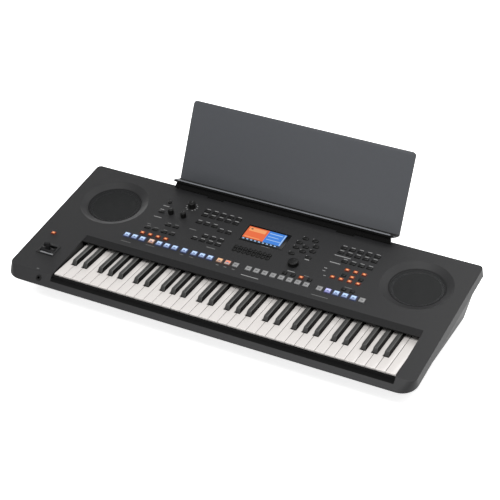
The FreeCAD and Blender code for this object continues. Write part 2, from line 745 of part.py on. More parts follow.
def make_upper_case():
    body = new_body("upper_case", tilted=True)
    skirt, wall = -d.skirt_depth, d.wall
    low, high = new_sketch(body, offset=skirt), new_sketch(body)
    draw_rounded(low, HALF, -d.front_toe, PANEL_END, d.front_corner_low, d.rear_corner_low)
    draw_rounded(high, TOP_HALF, d.front_crease, PANEL_END, d.front_corner_top, d.rear_corner_top)
    loft(body, "AdditiveLoft", low, high)
    # The hollow underneath, a wall's thickness inside
    low, high = new_sketch(body, offset=skirt), new_sketch(body, offset=-wall)
    draw_rounded(low, HALF - wall, d.front_wall - d.front_toe, PANEL_END - wall,
                 d.front_corner_low - wall, d.rear_corner_low - wall)
    draw_rounded(high, TOP_HALF - wall, d.front_crease - FRONT_RUN * wall + d.front_wall,
                 PANEL_END - wall, d.front_corner_top - wall, d.rear_corner_top - wall)
    loft(body, "SubtractiveLoft", low, high)
    # Block round the key well, later opened, and the low rail in front of the keys
    block = new_sketch(body, offset=skirt)
    draw_rectangle(block, WELL_LEFT - wall, WELL_RIGHT + wall, d.front_crease + d.front_wall,
                   d.fallboard_along)
    pad(body, block, d.skirt_depth - wall / 2)
    rail = new_sketch(body, "YZ_Plane", offset=WELL_LEFT - wall)
    draw_polygon(rail, [(-d.front_toe, skirt), (d.front_crease + d.front_wall + wall, skirt),
                        (d.front_crease + d.front_wall + wall, 0), (d.front_crease, 0)])
    pad(body, rail, WELL_RIGHT - WELL_LEFT + wall * 2)
    # Thick cones that the speaker dishes are sunk in
    dish = profile_sketch(body, d.speaker_x, d.speaker_along)
    under = -d.dish_depth - wall - d.grille_thick
    draw_polygon(dish, [(0, under), (d.grille_radius + wall, under),
                        (d.dish_radius + wall, -wall), (d.dish_radius + wall, -wall / 2),
                        (0, -wall / 2)])
    mirror(body, [revolve(body, dish)])
    # Fallboard that slopes down from the panel and ends just over the black keys
    lip, rear, thick = d.fallboard_along, d.fallboard_rear, d.fallboard_thick
    fallboard = new_sketch(body, "YZ_Plane", offset=WELL_LEFT - wall)
    draw_polygon(fallboard, [(lip, -d.fallboard_drop - thick), (rear + wall, -wall),
                             (rear + wall, -wall / 2), (lip, -wall / 2)])
    pad(body, fallboard, WELL_RIGHT - WELL_LEFT + wall * 2)
    slope = new_sketch(body, "YZ_Plane", offset=WELL_LEFT)
    draw_polygon(slope, [(lip, -d.fallboard_drop), (rear, 0), (rear, wall), (lip - wall, wall),
                         (lip - wall, -d.fallboard_drop)])
    pocket(body, slope, WELL_RIGHT - WELL_LEFT, Reversed=True)
    # Key well, low rail, and the slip that hides the fronts of the keys
    well = new_sketch(body)
    draw_rectangle(well, WELL_LEFT, WELL_RIGHT, d.slip_along, lip)
    pocket(body, well, d.skirt_depth * 2)
    rail_top, slip_top = new_sketch(body), new_sketch(body)
    draw_rectangle(rail_top, WELL_LEFT, WELL_RIGHT, -d.front_crease, d.slip_along - d.slip_thick)
    pocket(body, rail_top, d.rail_drop)
    draw_rectangle(slip_top, WELL_LEFT, WELL_RIGHT, d.slip_along - wall, d.slip_along + wall)
    pocket(body, slip_top, d.slip_drop)
    # Speaker dishes with the seat for the grille and the sound hole
    dish = profile_sketch(body, d.speaker_x, d.speaker_along)
    seat = -d.dish_depth - d.grille_thick
    hole = d.grille_radius - d.grille_lip
    draw_polygon(dish, [(0, wall), (d.dish_radius, wall), (d.dish_radius, 0),
                        (d.grille_radius + d.button_gap, -d.dish_depth),
                        (d.grille_radius + d.button_gap, seat), (hole, seat), (hole, under - wall),
                        (0, under - wall)])
    mirror(body, [revolve(body, dish, "Groove")])
    # Display window and the rebate its lens lies in
    window, rebate = new_sketch(body), new_sketch(body)
    x, along, wide, deep = d.display_x, d.display_along, d.lens_wide, d.lens_deep
    draw_polygon(rebate, oblong(x, along, wide + d.button_gap * 2, deep + d.button_gap * 2))
    pocket(body, rebate, d.lens_thick)
    draw_polygon(window, oblong(x, along, wide - d.lens_lip * 2, deep - d.lens_lip * 2))
    pocket(body, window, d.skirt_depth)
    # Hole for the headphone socket, square to the sloping front
    jack = new_sketch(body, offset=HEADPHONE_W, across=d.headphone_x, up=HEADPHONE_V, lean=FRONT_ANGLE)
    draw_circle(jack, 0, 0, d.jack_barrel + d.jack_fit)
    pocket(body, jack, d.front_wall * 4, Midplane=True, Refine=False)
    # Bosses that the panel boards are screwed to
    bosses = new_sketch(body, offset=PANEL_BOARD)
    for x, along in BOSSES:
        draw_polygon(bosses, oblong(x, along, d.boss_size, d.boss_size))
    pad(body, bosses, d.panel_board_depth - wall / 2, Refine=False)
    # Holes for the buttons, with the gap each one slides in
    for shape, batch in [item for shapes in BUTTONS.values() for item in batches(shapes)]:
        holes = new_sketch(body)
        for x, along in batch:
            draw_polygon(holes, shape(d.button_gap)(x, along))
        pocket(body, holes, wall * 1.5, Refine=False)
    round_holes = new_sketch(body)
    draw_circle(round_holes, d.standby_x, d.standby_row, d.standby_radius + d.button_gap)
    for x, along, radius, height in KNOBS.values():
        draw_circle(round_holes, x, along, d.knob_shaft + d.button_gap)
    pocket(body, round_holes, wall * 1.5, Refine=False)
    # Joystick window
    stick = new_sketch(body)
    draw_polygon(stick, oblong(d.stick_x, d.stick_along,
                               d.stick_window_x + d.stick_wall * 2 + d.button_gap,
                               d.stick_window_along + d.stick_wall * 2 + d.button_gap))
    pocket(body, stick, d.skirt_depth, Refine=False)
    # Slots that the legs of the music rest drop through
    slots = new_sketch(body)
    for side in (-1, 1):
        draw_rectangle(slots, d.leg_x * side - d.leg_width / 2 - d.leg_gap,
                       d.leg_x * side + d.leg_width / 2 + d.leg_gap, SLOT_FRONT, SLOT_REAR)
    pocket(body, slots, wall * 1.5, Refine=False)


def make_buttons():
    flange_low = UNDER_PANEL - d.button_flange
    for node, shapes in BUTTONS.items():
        body = new_body(node, tilted=True)
        for shape, batch in batches(shapes):
            flange = new_sketch(body, offset=flange_low)
            cap = new_sketch(body, offset=UNDER_PANEL)
            for x, along in batch:
                draw_polygon(flange, shape(d.button_flange)(x, along))
                draw_polygon(cap, shape(dim(0))(x, along))
            pad(body, flange, d.button_flange)
            pad(body, cap, d.button_proud - UNDER_PANEL)
    body = new_body("standby_button", tilted=True)
    profile = profile_sketch(body, d.standby_x, d.standby_row)
    wide = d.standby_radius + d.button_flange
    draw_polygon(profile, [(0, flange_low), (wide, flange_low), (wide, UNDER_PANEL),
                           (d.standby_radius, UNDER_PANEL), (d.standby_radius, d.button_proud),
                           (0, d.button_proud)])
    revolve(body, profile)


def make_keypad_strips():
    """Strips of dome rubber on the panel boards, one under each row of buttons."""
    body = new_body("keypad_strips", tilted=True)
    half = d.dome_width / 2
    split_low, split_high = d.board_split_x - half, d.board_split_x + half
    rows = [
        (d.intro_x, d.ending_x + d.pad_pitch * 2, d.pad_row),
        (d.start_x, d.start_x + d.pad_pitch * 2, d.pad_row),
        (d.registration_x, d.registration_x + d.pad_pitch * 7, d.pad_row),
        (d.multi_pad_x, d.multi_pad_x + d.pad_pitch * 5, d.pad_row),
        (d.accompaniment_x, d.accompaniment_x + d.lamp_pitch * 3, d.accompaniment_row),
        (d.tempo_x, d.tempo_right_x + d.bar_pitch, d.tempo_row),
        (d.transpose_x, d.transpose_x + d.bar_pitch, d.transpose_row),
        (d.style_x, d.style_x + d.bar_pitch * 4, d.style_row_1),
        (d.style_x, d.style_x + d.bar_pitch * 4, d.style_row_2),
        (d.style_x, d.style_x + d.bar_pitch * 2, d.style_row_3),
        (d.style_short_x, d.style_short_x + d.bar_pitch, d.style_short_row),
        (d.song_x, d.song_x + d.bar_pitch * 3, d.song_row),
        (d.song_top_x, d.song_top_x + d.bar_pitch * 2, d.song_top_row),
        (d.nav_top_left_x, d.nav_top_right_x, d.nav_top_row),
        (d.bank_x, d.bank_x + d.lamp_pitch * 3, d.bank_row),
        (d.voice_x, d.voice_x + d.bar_pitch * 4, d.voice_row_1),
        (d.voice_x, d.voice_x + d.bar_pitch * 4, d.voice_row_2),
        (d.voice_x + d.bar_pitch, d.voice_x + d.bar_pitch * 4, d.voice_row_3),
        (d.effect_x, d.effect_x + d.lamp_pitch * 2, d.effect_row),
        (d.part_x, d.part_x + d.lamp_pitch * 3, d.part_row),
        (d.part_x + d.lamp_pitch, d.part_x + d.lamp_pitch * 3, d.part_top_row),
        (d.pad_control_x, d.pad_control_x + d.lamp_pitch, d.pad_control_row),
    ]
    single = [(d.standby_x, d.standby_row), (d.modulation_x, d.modulation_row)]
    rows += [(x, x, along) for x, along in NAVIGATION[2:] + single]
    for step in (0, 1):
        along = d.arrow_row + d.arrow_step * step
        rows.append((ARROW_X, split_low - half, along))
        rows.append((split_high + half, -ARROW_X, along))
    room = UNDER_PANEL - d.button_flange - d.button_travel - d.button_rest_gap
    for left, right, along in rows:
        sketch = new_sketch(body, offset=PANEL_BOARD)
        draw_rectangle(sketch, left - half, right + half, along - half, along + half)
        pad(body, sketch, room - PANEL_BOARD)


def make_panel_boards():
    """Printed boards under the panel, with the potentiometers that carry the knobs."""
    sides = {
        "panel_board_left": (d.board_left_x, d.board_split_x - d.board_gap / 2),
        "panel_board_right": (d.board_split_x + d.board_gap / 2, d.board_right_x),
    }
    for node, (left, right) in sides.items():
        body = new_body(node, tilted=True)
        sketch = new_sketch(body, offset=PANEL_BOARD - d.board_thick)
        draw_rectangle(sketch, left, right, d.board_front, d.board_rear)
        pad(body, sketch, d.board_thick)
        cases = new_sketch(body, offset=PANEL_BOARD)
        shafts = new_sketch(body, offset=PANEL_BOARD)
        for x, along, radius, height in KNOBS.values():
            if left.value < x.value < right.value:
                draw_polygon(cases, oblong(x, along, d.pot_size, d.pot_size))
                draw_circle(shafts, x, along, d.knob_shaft)
        pad(body, cases, d.panel_board_depth + UNDER_PANEL)
        pad(body, shafts, d.panel_board_depth + d.shaft_reach)
    body = new_body("modulation_board", tilted=True)
    sketch = new_sketch(body, offset=PANEL_BOARD - d.board_thick)
    draw_polygon(sketch, oblong(d.modulation_x, d.modulation_row, d.small_board_wide, d.small_board_deep))
    pad(body, sketch, d.board_thick)


def make_knobs():
    for node, (x, along, radius, height) in KNOBS.items():
        body = new_body(node, tilted=True)
        profile = profile_sketch(body, x, along)
        bore = d.knob_shaft + d.shaft_clearance
        ceiling = d.shaft_reach + d.knob_lift
        draw_polygon(profile, [(bore, d.knob_lift), (radius, d.knob_lift),
                               (radius - d.knob_lift * 2, height), (0, height), (0, ceiling),
                               (bore, ceiling)])
        revolve(body, profile)


def make_display():
    body = new_body("display_lens", tilted=True)
    sketch = new_sketch(body, offset=-d.lens_thick)
    draw_polygon(sketch, oblong(d.display_x, d.display_along, d.lens_wide, d.lens_deep))
    pad(body, sketch, d.lens_thick)
    body = new_body("display_module", tilted=True)
    sketch = new_sketch(body, offset=PANEL_BOARD)
    inset = d.lens_lip * 2 + d.button_gap * 2
    draw_polygon(sketch, oblong(d.display_x, d.display_along, d.lens_wide - inset, d.lens_deep - inset))
    pad(body, sketch, d.panel_board_depth - d.lens_thick)


def make_speakers():
    seat = -d.dish_depth - d.grille_thick
    under = seat - d.wall
    hole = d.grille_radius - d.grille_lip
    for node, side in (("speaker_grille_left", -1), ("speaker_grille_right", 1)):
        body = new_body(node, tilted=True)
        profile = profile_sketch(body, d.speaker_x * side, d.speaker_along)
        draw_rectangle(profile, 0, d.grille_radius, seat, -d.dish_depth)
        revolve(body, profile)
    neck = under - d.basket_depth
    thick = d.basket_thick
    body = new_body("speaker_baskets", tilted=True)
    profile = profile_sketch(body, d.speaker_x, d.speaker_along)
    rim = d.cone_radius + d.cone_thick * 2
    draw_polygon(profile, [(rim, under), (d.basket_flange, under), (d.basket_flange, under - thick),
                           (d.magnet_radius, neck), (d.magnet_radius - thick * 2, neck),
                           (rim, under - thick * 2)])
    mirror(body, [revolve(body, profile)])
    body = new_body("speaker_cones", tilted=True)
    profile = profile_sketch(body, d.speaker_x, d.speaker_along)
    cone_low = under - d.cone_depth
    edge = rim - d.button_gap / 2
    draw_polygon(profile, [(0, cone_low), (d.cone_neck, cone_low), (edge, under - thick), (edge, under),
                           (d.cone_neck, cone_low + thick), (0, cone_low + thick)])
    mirror(body, [revolve(body, profile)])
    body = new_body("speaker_magnets", tilted=True)
    profile = profile_sketch(body, d.speaker_x, d.speaker_along)
    core = d.cone_neck - d.cone_thick
    draw_polygon(profile, [(0, neck - d.magnet_depth), (d.magnet_radius, neck - d.magnet_depth),
                           (d.magnet_radius, neck), (core, neck), (core, cone_low - thick * 2),
                           (0, cone_low - thick * 2)])
    mirror(body, [revolve(body, profile)])


def make_joystick():
    """A self-centring stick: a barrel that rocks in the housing, and a lever that rocks in the barrel."""
    x, along, axis = d.stick_x, d.stick_along, -d.barrel_drop
    wide, deep, wall = d.stick_window_x, d.stick_window_along, d.stick_wall
    housing = new_body("joystick_housing", tilted=True)
    sketch = new_sketch(housing, offset=-d.stick_cup_depth)
    draw_polygon(sketch, oblong(x, along, wide + wall * 2, deep + wall * 2))
    pad(housing, sketch, d.stick_cup_depth)
    sketch = new_sketch(housing)
    draw_polygon(sketch, oblong(x, along, wide + d.stick_rim * 2, deep + d.stick_rim * 2))
    pad(housing, sketch, d.stick_rim_height)
    sketch = new_sketch(housing, offset=d.stick_rim_height)
    draw_polygon(sketch, oblong(x, along, wide, deep))
    pocket(housing, sketch, d.stick_cup_depth + d.stick_rim_height - wall)
    sketch = new_sketch(housing, "YZ_Plane", offset=x)
    draw_circle(sketch, along, axis, d.stick_pin + d.stick_pin_gap)
    pocket(housing, sketch, wide + wall * 2 + d.button_gap, Midplane=True)
    gimbal = new_body("joystick_gimbal", tilted=True)
    sketch = new_sketch(gimbal, "YZ_Plane", offset=x)
    draw_circle(sketch, along, axis, d.barrel_radius)
    pad(gimbal, sketch, wide - d.barrel_end_gap * 2, Midplane=True)
    sketch = new_sketch(gimbal, "YZ_Plane", offset=x)
    draw_circle(sketch, along, axis, d.stick_pin)
    pad(gimbal, sketch, wide + wall * 2 - d.barrel_end_gap * 2, Midplane=True)
    slot = new_sketch(gimbal, offset=axis - d.lever_width)
    draw_polygon(slot, oblong(x, along, d.lever_slot, d.lever_thick + d.lever_gap * 2))
    pocket(gimbal, slot, d.barrel_radius * 3, Reversed=True)
    holes = new_sketch(gimbal, "XZ_Plane", offset=-along, across=x)
    draw_circle(holes, 0, axis, d.stick_pin + d.stick_pin_gap)
    pocket(gimbal, holes, d.barrel_radius * 3, Midplane=True)
    lever = new_body("joystick_lever", tilted=True)
    foot, top = d.lever_width / 2, d.lever_height
    blade = new_sketch(lever, "XZ_Plane", offset=-along, across=x)
    draw_polygon(blade, [(-foot, axis - foot), (foot, axis - foot), (foot, d.stick_rim_height * 3),
                         (foot * 2, top - foot), (foot * 2, top), (foot * -2, top),
                         (foot * -2, top - foot), (-foot, d.stick_rim_height * 3)])
    pad(lever, blade, d.lever_thick, Midplane=True)
    pin = new_sketch(lever, "XZ_Plane", offset=-along, across=x)
    draw_circle(pin, 0, axis, d.stick_pin)
    pad(lever, pin, d.barrel_radius * 2 - d.barrel_end_gap * 4, Midplane=True)


def key_notch(body, x):
    """Cuts the notch by which a key rides on the pivot bead."""
    half = d.bead_radius + d.pivot_clearance
    roof = PIVOT_Z + half
    sketch = new_sketch(body, "YZ_Plane", offset=x)
    draw_polygon(sketch, [(PIVOT_Y - half, KEY_BOTTOM - half), (PIVOT_Y + half, KEY_BOTTOM - half),
                          (PIVOT_Y + half, roof), (PIVOT_Y - half, roof)])
    return pocket(body, sketch, d.key_pitch, Midplane=True)


def key_hollows(body, outline_left, outline_right, front):
    """Hollows a key from below, leaving the rib that presses the contact."""
    wall, half = d.key_wall, d.rib_thick / 2
    sketch = new_sketch(body, offset=KEY_BOTTOM)
    inner_left, inner_right = outline_left + wall, outline_right - wall
    draw_rectangle(sketch, inner_left, inner_right, front + wall, RIB_Y - half)
    draw_rectangle(sketch, inner_left, inner_right, RIB_Y + half, PIVOT_Y - d.bead_radius * 3)
    return pocket(body, sketch, d.white_depth - d.key_skin, Reversed=True)


def white_key(body, head_left, head_right, tail_left, tail_right, notched_left, notched_right):
    """One white key: wide head, narrow tail past the sharps, hollow underneath."""
    gap = d.key_gap / 2
    front, neck = d.key_front, d.key_front + d.black_setback - d.key_gap
    left, right = head_left + gap, head_right - gap
    slim_left = tail_left + gap if notched_left else left
    slim_right = tail_right - gap if notched_right else right
    points = [(left, front), (right, front)]
    points += [(right, neck), (slim_right, neck)] if notched_right else []
    points += [(slim_right, KEY_END), (slim_left, KEY_END)]
    points += [(slim_left, neck), (left, neck)] if notched_left else []
    outline = new_sketch(body, offset=KEY_BOTTOM)
    draw_polygon(outline, points)
    made = [pad(body, outline, d.white_depth)]
    made.append(key_hollows(body, slim_left, slim_right, front))
    made.append(key_notch(body, (slim_left + slim_right) / 2))
    return made


def black_key(body, left, right):
    """One sharp: a hollow body between the white tails with a tapering cap on it."""
    middle, half = (left + right) / 2, d.black_width / 2
    front = d.key_front + d.black_setback
    outline = new_sketch(body, offset=KEY_BOTTOM)
    draw_rectangle(outline, middle - half, middle + half, front, KEY_END)
    made = [pad(body, outline, d.white_depth)]
    low, high = new_sketch(body, offset=KEY_TOP), new_sketch(body, offset=KEY_TOP + d.black_rise)
    rear, top_half = front + d.black_reach, d.black_top_width / 2
    draw_rectangle(low, middle - half, middle + half, front, rear)
    draw_rectangle(high, middle - top_half, middle + top_half, front + d.black_slope_run, rear)
    made.append(loft(body, "AdditiveLoft", low, high))
    made.append(key_hollows(body, middle - half, middle + half, front))
    made.append(key_notch(body, middle))
    return made


def make_keys():
    for place, (name, tail) in enumerate(WHITE_TAILS.items()):
        body = new_body(f"keys_{name}")
        head_left = KEYS_LEFT + d.key_pitch * place
        tail_left, tail_right = tail_edges(tail)
        made = white_key(body, head_left, head_left + d.key_pitch, tail_left, tail_right,
                         tail - 1 in BLACK_TAILS.values(), tail + 1 in BLACK_TAILS.values())
        octaves(body, made, OCTAVES)
        if name == "c":
            # The top key has no sharp above it, so it keeps its full width
            last = KEYS_RIGHT - d.key_pitch
            white_key(body, last, KEYS_RIGHT, last, KEYS_RIGHT, False, False)
    for name, tail in BLACK_TAILS.items():
        body = new_body(f"keys_{name}")
        octaves(body, black_key(body, *tail_edges(tail)), OCTAVES)


def make_keybed():
    """The keybed: frame with pivot bead, stop felt, contact board and dome rubbers."""
    thick, web = d.frame_thick, d.frame_web / 2
    front, leg = d.key_front + d.frame_front, d.key_front + d.frame_leg
    foot = leg - d.frame_foot
    seat_end = front + d.felt_width
    drop = (PIVOT_Y - front) * sine(d.key_travel)
    seat = KEY_BOTTOM - drop - d.pivot_clearance - d.felt_thick
    frame = new_body("key_frame")
    sketch = new_sketch(frame, "YZ_Plane", offset=KEYS_LEFT)
    back_foot = PIVOT_Y + d.frame_foot
    draw_polygon(sketch, [
        (foot, FLOOR), (leg + thick, FLOOR), (leg + thick, DECK - thick),
        (PIVOT_Y - web, DECK - thick), (PIVOT_Y - web, FLOOR), (back_foot, FLOOR),
        (back_foot, FLOOR + thick), (PIVOT_Y + web, FLOOR + thick), (PIVOT_Y + web, PIVOT_Z),
        (PIVOT_Y - web, PIVOT_Z), (PIVOT_Y - web, DECK), (seat_end, DECK), (seat_end, seat),
        (front, seat), (front, DECK - thick), (leg, DECK - thick), (leg, FLOOR + thick),
        (foot, FLOOR + thick)])
    pad(frame, sketch, KEYS_RIGHT - KEYS_LEFT)
    bead = new_sketch(frame, "YZ_Plane", offset=KEYS_LEFT)
    draw_circle(bead, PIVOT_Y, PIVOT_Z, d.bead_radius)
    pad(frame, bead, KEYS_RIGHT - KEYS_LEFT)
    felt = new_body("key_stop_felt")
    sketch = new_sketch(felt, offset=seat)
    draw_rectangle(sketch, KEYS_LEFT, KEYS_RIGHT, front, seat_end)
    pad(felt, sketch, d.felt_thick)
    board = new_body("contact_board")
    sketch = new_sketch(board, offset=DECK)
    half = d.contact_board_width / 2
    draw_rectangle(sketch, KEYS_LEFT, KEYS_RIGHT, RIB_Y - half, RIB_Y + half)
    pad(board, sketch, d.board_thick)
    rubbers = new_body("contact_rubbers")
    base, half = DECK + d.board_thick, d.rubber_width / 2
    strip = new_sketch(rubbers, offset=base)
    gap = d.key_gap / 2
    draw_rectangle(strip, KEYS_LEFT + gap, KEYS_LEFT + OCTAVE - gap, RIB_Y - half, RIB_Y + half)
    made = [pad(rubbers, strip, d.rubber_base)]
    domes = new_sketch(rubbers, offset=base)
    for tail in range(12):
        left, right = tail_edges(tail)
        draw_polygon(domes, oblong((left + right) / 2, RIB_Y, d.dome_width, d.dome_length))
    reach = (PIVOT_Y - RIB_Y + d.dome_length / 2) * sine(d.key_travel)
    made.append(pad(rubbers, domes, KEY_BOTTOM - reach - d.pivot_clearance - base))
    octaves(rubbers, made, OCTAVES)
    last = new_sketch(rubbers, offset=base)
    draw_rectangle(last, KEYS_RIGHT - d.key_pitch + gap, KEYS_RIGHT - gap, RIB_Y - half, RIB_Y + half)
    pad(rubbers, last, d.rubber_base)
    dome = new_sketch(rubbers, offset=base)
    draw_polygon(dome, oblong(KEYS_RIGHT - d.key_pitch / 2, RIB_Y, d.dome_width, d.dome_length))
    pad(rubbers, dome, KEY_BOTTOM - reach - d.pivot_clearance - base)


def base_outline(sketch, height, inset):
    """Outline of the lower case at a height: raked front, flaring sides, rear corners cut off."""
    rise = height - d.foot_height
    flare = rise * d.base_side_flare - inset
    front = d.base_front - rise * d.base_front_flare + inset * d.base_front_wall / d.wall
    half, half_rear = d.base_half + flare, d.base_half_rear + flare
    rear, cut = REAR_WALL - inset, d.base_cut_start - inset
    draw_polygon(sketch, [(-half, front), (half, front), (half, cut), (half_rear, rear), (-half_rear, rear),
                          (-half, cut)])


def make_lower_case():
    body = new_body("lower_case")
    low, high = new_sketch(body, offset=d.foot_height), new_sketch(body, offset=d.case_height)
    base_outline(low, d.foot_height, dim(0))
    base_outline(high, d.case_height, dim(0))
    loft(body, "AdditiveLoft", low, high)
    low, high = new_sketch(body, offset=FLOOR), new_sketch(body, offset=d.case_height)
    base_outline(low, FLOOR, d.wall)
    base_outline(high, d.case_height, d.wall)
    loft(body, "SubtractiveLoft", low, high)
    # Everything above the parting plane is cut away
    plane_y, plane_z = d.skirt_depth * SINE, PANEL_Z - d.skirt_depth * COSINE
    trim = new_sketch(body, offset=plane_z, up=plane_y, lean=d.top_slope)
    reach = d.case_width
    draw_rectangle(trim, -reach, reach, -reach, reach)
    pocket(body, trim, d.case_height * 2, Reversed=True)
    # The rim that carries the skirt of the upper case
    rim_z = plane_z - d.rim_thick * COSINE
    rim_y = plane_y + d.rim_thick * SINE
    rim = new_sketch(body, offset=rim_z, up=rim_y, lean=d.top_slope)
    groove, inner = d.rim_groove, d.rim_groove + d.rim_width
    draw_rounded(rim, HALF - groove, groove - d.front_toe, PANEL_END - groove,
                 d.front_corner_low - groove, d.rear_corner_low - groove)
    draw_rectangle(rim, inner - HALF, HALF - inner, inner - d.front_toe, PANEL_END - inner)
    pad(body, rim, d.rim_thick)
    # Way through the rim for the headphone socket
    gate = new_sketch(body, offset=plane_z, up=plane_y, lean=d.top_slope)
    reach = d.jack_barrel + d.wall / 2
    draw_rectangle(gate, d.headphone_x - reach, d.headphone_x + reach, HEADPHONE_V, inner + d.wall)
    pocket(body, gate, d.rim_thick * 2, Midplane=True)
    # Posts for the boards
    posts = new_sketch(body, offset=d.foot_height + d.wall / 2)
    inset = d.post_size
    for left, right in ((MAIN_LEFT, MAIN_RIGHT), (POWER_LEFT, POWER_RIGHT)):
        for x in (left + inset, right - inset):
            for y in (MAIN_REAR - inset, MAIN_REAR - d.main_board_deep + inset):
                draw_polygon(posts, oblong(x, y, d.post_size, d.post_size))
    pad(body, posts, d.main_board_rise + d.wall / 2)
    # Holes in the rear wall for the sockets
    holes = new_sketch(body, "XZ_Plane", offset=-REAR_WALL)
    for x in JACKS + [d.dc_x]:
        draw_circle(holes, x, JACK_Z, d.jack_barrel + d.jack_fit)
    for x in USBS:
        draw_polygon(holes, oblong(x, JACK_Z, d.usb_wide + d.jack_fit * 2, d.usb_tall + d.jack_fit * 2))
    pocket(body, holes, d.wall * 4, Midplane=True)


def make_feet():
    body = new_body("feet")
    sketch = new_sketch(body)
    for x, y in FEET:
        draw_circle(sketch, x, y, d.foot_radius)
    pad(body, sketch, d.foot_height)


def jack_profile(sketch, bore, bore_depth):
    """Section of a round socket whose nut stands on the outside of a wall at height 0."""
    draw_polygon(sketch, [(bore, d.jack_nut_thick), (d.jack_nut, d.jack_nut_thick), (d.jack_nut, 0),
                          (d.jack_barrel, 0), (d.jack_barrel, -d.jack_depth), (0, -d.jack_depth),
                          (0, d.jack_nut_thick - bore_depth), (bore, d.jack_nut_thick - bore_depth)])


def make_sockets():
    body = new_body("headphone_jack")
    turn(body, "Placement", d.top_slope + FRONT_ANGLE)
    bind(body, "Placement.Base.x", d.headphone_x)
    bind(body, "Placement.Base.y", HEADPHONE_V * COSINE - HEADPHONE_W * SINE - ORIGIN_Y)
    bind(body, "Placement.Base.z", PANEL_Z + HEADPHONE_V * SINE + HEADPHONE_W * COSINE)
    sketch = new_sketch(body, "XZ_Plane")
    jack_profile(sketch, d.jack_bore, d.jack_bore_depth)
    revolve(body, sketch)
    rows = {"rear_jacks": (JACKS, d.jack_bore), "power_inlet": ([d.dc_x], d.dc_bore)}
    for node, (places, bore) in rows.items():
        body = new_body(node)
        for x in places:
            # The profile lies in a level plane and turns about a line that runs to the rear
            sketch = new_sketch(body, "XY_Plane", offset=JACK_Z, across=x, up=REAR_WALL)
            jack_profile(sketch, bore, d.jack_bore_depth)
            revolve(body, sketch)
            block = new_sketch(body, offset=MAIN_BOARD_Z + d.board_thick)
            draw_rectangle(block, x - d.jack_barrel / 2, x + d.jack_barrel / 2,
                           REAR_WALL - d.jack_depth, REAR_WALL - d.jack_bore_depth)
            pad(body, block, d.rear_jack_rise)
    body = new_body("usb_sockets")
    outer, inner = (new_sketch(body, "XZ_Plane", offset=-REAR_WALL) for layer in range(2))
    legs = new_sketch(body, offset=MAIN_BOARD_Z + d.board_thick)
    for x in USBS:
        draw_polygon(outer, oblong(x, JACK_Z, d.usb_wide, d.usb_tall))
        draw_polygon(inner, oblong(x, JACK_Z, d.usb_wide - d.usb_wall * 2, d.usb_tall - d.usb_wall * 2))
        draw_rectangle(legs, x - d.usb_tall / 2, x + d.usb_tall / 2, REAR_WALL - d.usb_depth,
                       REAR_WALL - d.usb_depth + d.usb_wall * 2)
    pad(body, outer, d.usb_depth)
    pad(body, legs, d.rear_jack_rise)
    pocket(body, inner, d.usb_depth - d.usb_wall * 2, Reversed=True)


def make_inner_boards():
    boards = {"main_board": (MAIN_LEFT, MAIN_RIGHT), "power_board": (POWER_LEFT, POWER_RIGHT)}
    for node, (left, right) in boards.items():
        body = new_body(node)
        sketch = new_sketch(body, offset=MAIN_BOARD_Z)
        draw_rectangle(sketch, left, right, MAIN_REAR - d.main_board_deep, MAIN_REAR)
        pad(body, sketch, d.board_thick)


def make_music_rest():
    """One moulding: leaning plate, tray with a lip, apron down to the panel, and two plug-in legs."""
    body = new_body("music_rest")
    turn(body, "Placement", -d.rest_lean)
    bind(body, "Placement.Base.y", REST_Y - ORIGIN_Y)
    bind(body, "Placement.Base.z", REST_Z)
    half = d.rest_width / 2
    plate = new_sketch(body, "XZ_Plane")
    draw_rounded(plate, half, -d.tray_thick, d.rest_height, d.tray_thick / 2, d.rest_corner)
    pad(body, plate, d.rest_thick, Reversed=True)
    tray = new_sketch(body, offset=-d.tray_thick)
    draw_rounded(tray, half, -d.tray_depth, d.rest_thick / 2, d.rest_corner, d.rest_thick / 4)
    pad(body, tray, d.tray_thick)
    lip = new_sketch(body, offset=-d.tray_thick)
    end = half - d.rest_corner
    draw_rectangle(lip, -end, end, -d.tray_depth, d.tray_lip - d.tray_depth)
    pad(body, lip, d.tray_thick + d.tray_lip)
    apron = new_sketch(body, "XZ_Plane", offset=d.leg_place)
    low, high = d.leg_gap - APRON_DROP, -d.tray_thick / 2
    top = half - d.apron_inset
    bottom = top - d.apron_taper
    draw_polygon(apron, [(-bottom, low), (bottom, low), (top, high), (-top, high)])
    pad(body, apron, d.leg_thick)
    legs = new_sketch(body, offset=-d.tray_thick - d.leg_length)
    for side in (-1, 1):
        draw_rectangle(legs, d.leg_x * side - d.leg_width / 2, d.leg_x * side + d.leg_width / 2,
                       -d.leg_place - d.leg_thick, -d.leg_place)
    pad(body, legs, d.leg_length + d.tray_thick / 2)


def check_and_export():
    """Every feature has to be sound and every sub-part a valid solid before any file is written."""
    doc.recompute()
    for item in doc.Objects:
        if {"Invalid", "Error"} & set(item.State):
            raise RuntimeError(f"{item.Label} failed: {item.State}")
    for body in bodies:
        shape = body.Shape
        if shape.isNull() or not shape.isValid() or not shape.Solids:
            raise RuntimeError(f"{body.Label} is not a valid solid")
    os.makedirs("parts", exist_ok=True)
    for body in bodies:
        body.Shape.exportStep(f"parts/{body.Label}.step")
        print(body.Label, len(body.Shape.Solids), "solids", round(body.Shape.Volume / 1000, 1), "cm3")


make_upper_case()
make_lower_case()
make_buttons()
make_keypad_strips()
make_panel_boards()
make_knobs()
make_display()
make_speakers()
make_joystick()
make_keys()
make_keybed()
make_feet()
make_sockets()
make_inner_boards()
make_music_rest()
check_and_export()
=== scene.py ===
"""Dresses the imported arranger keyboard: finishes for every sub-part, rounded keys, lit buttons, stage."""

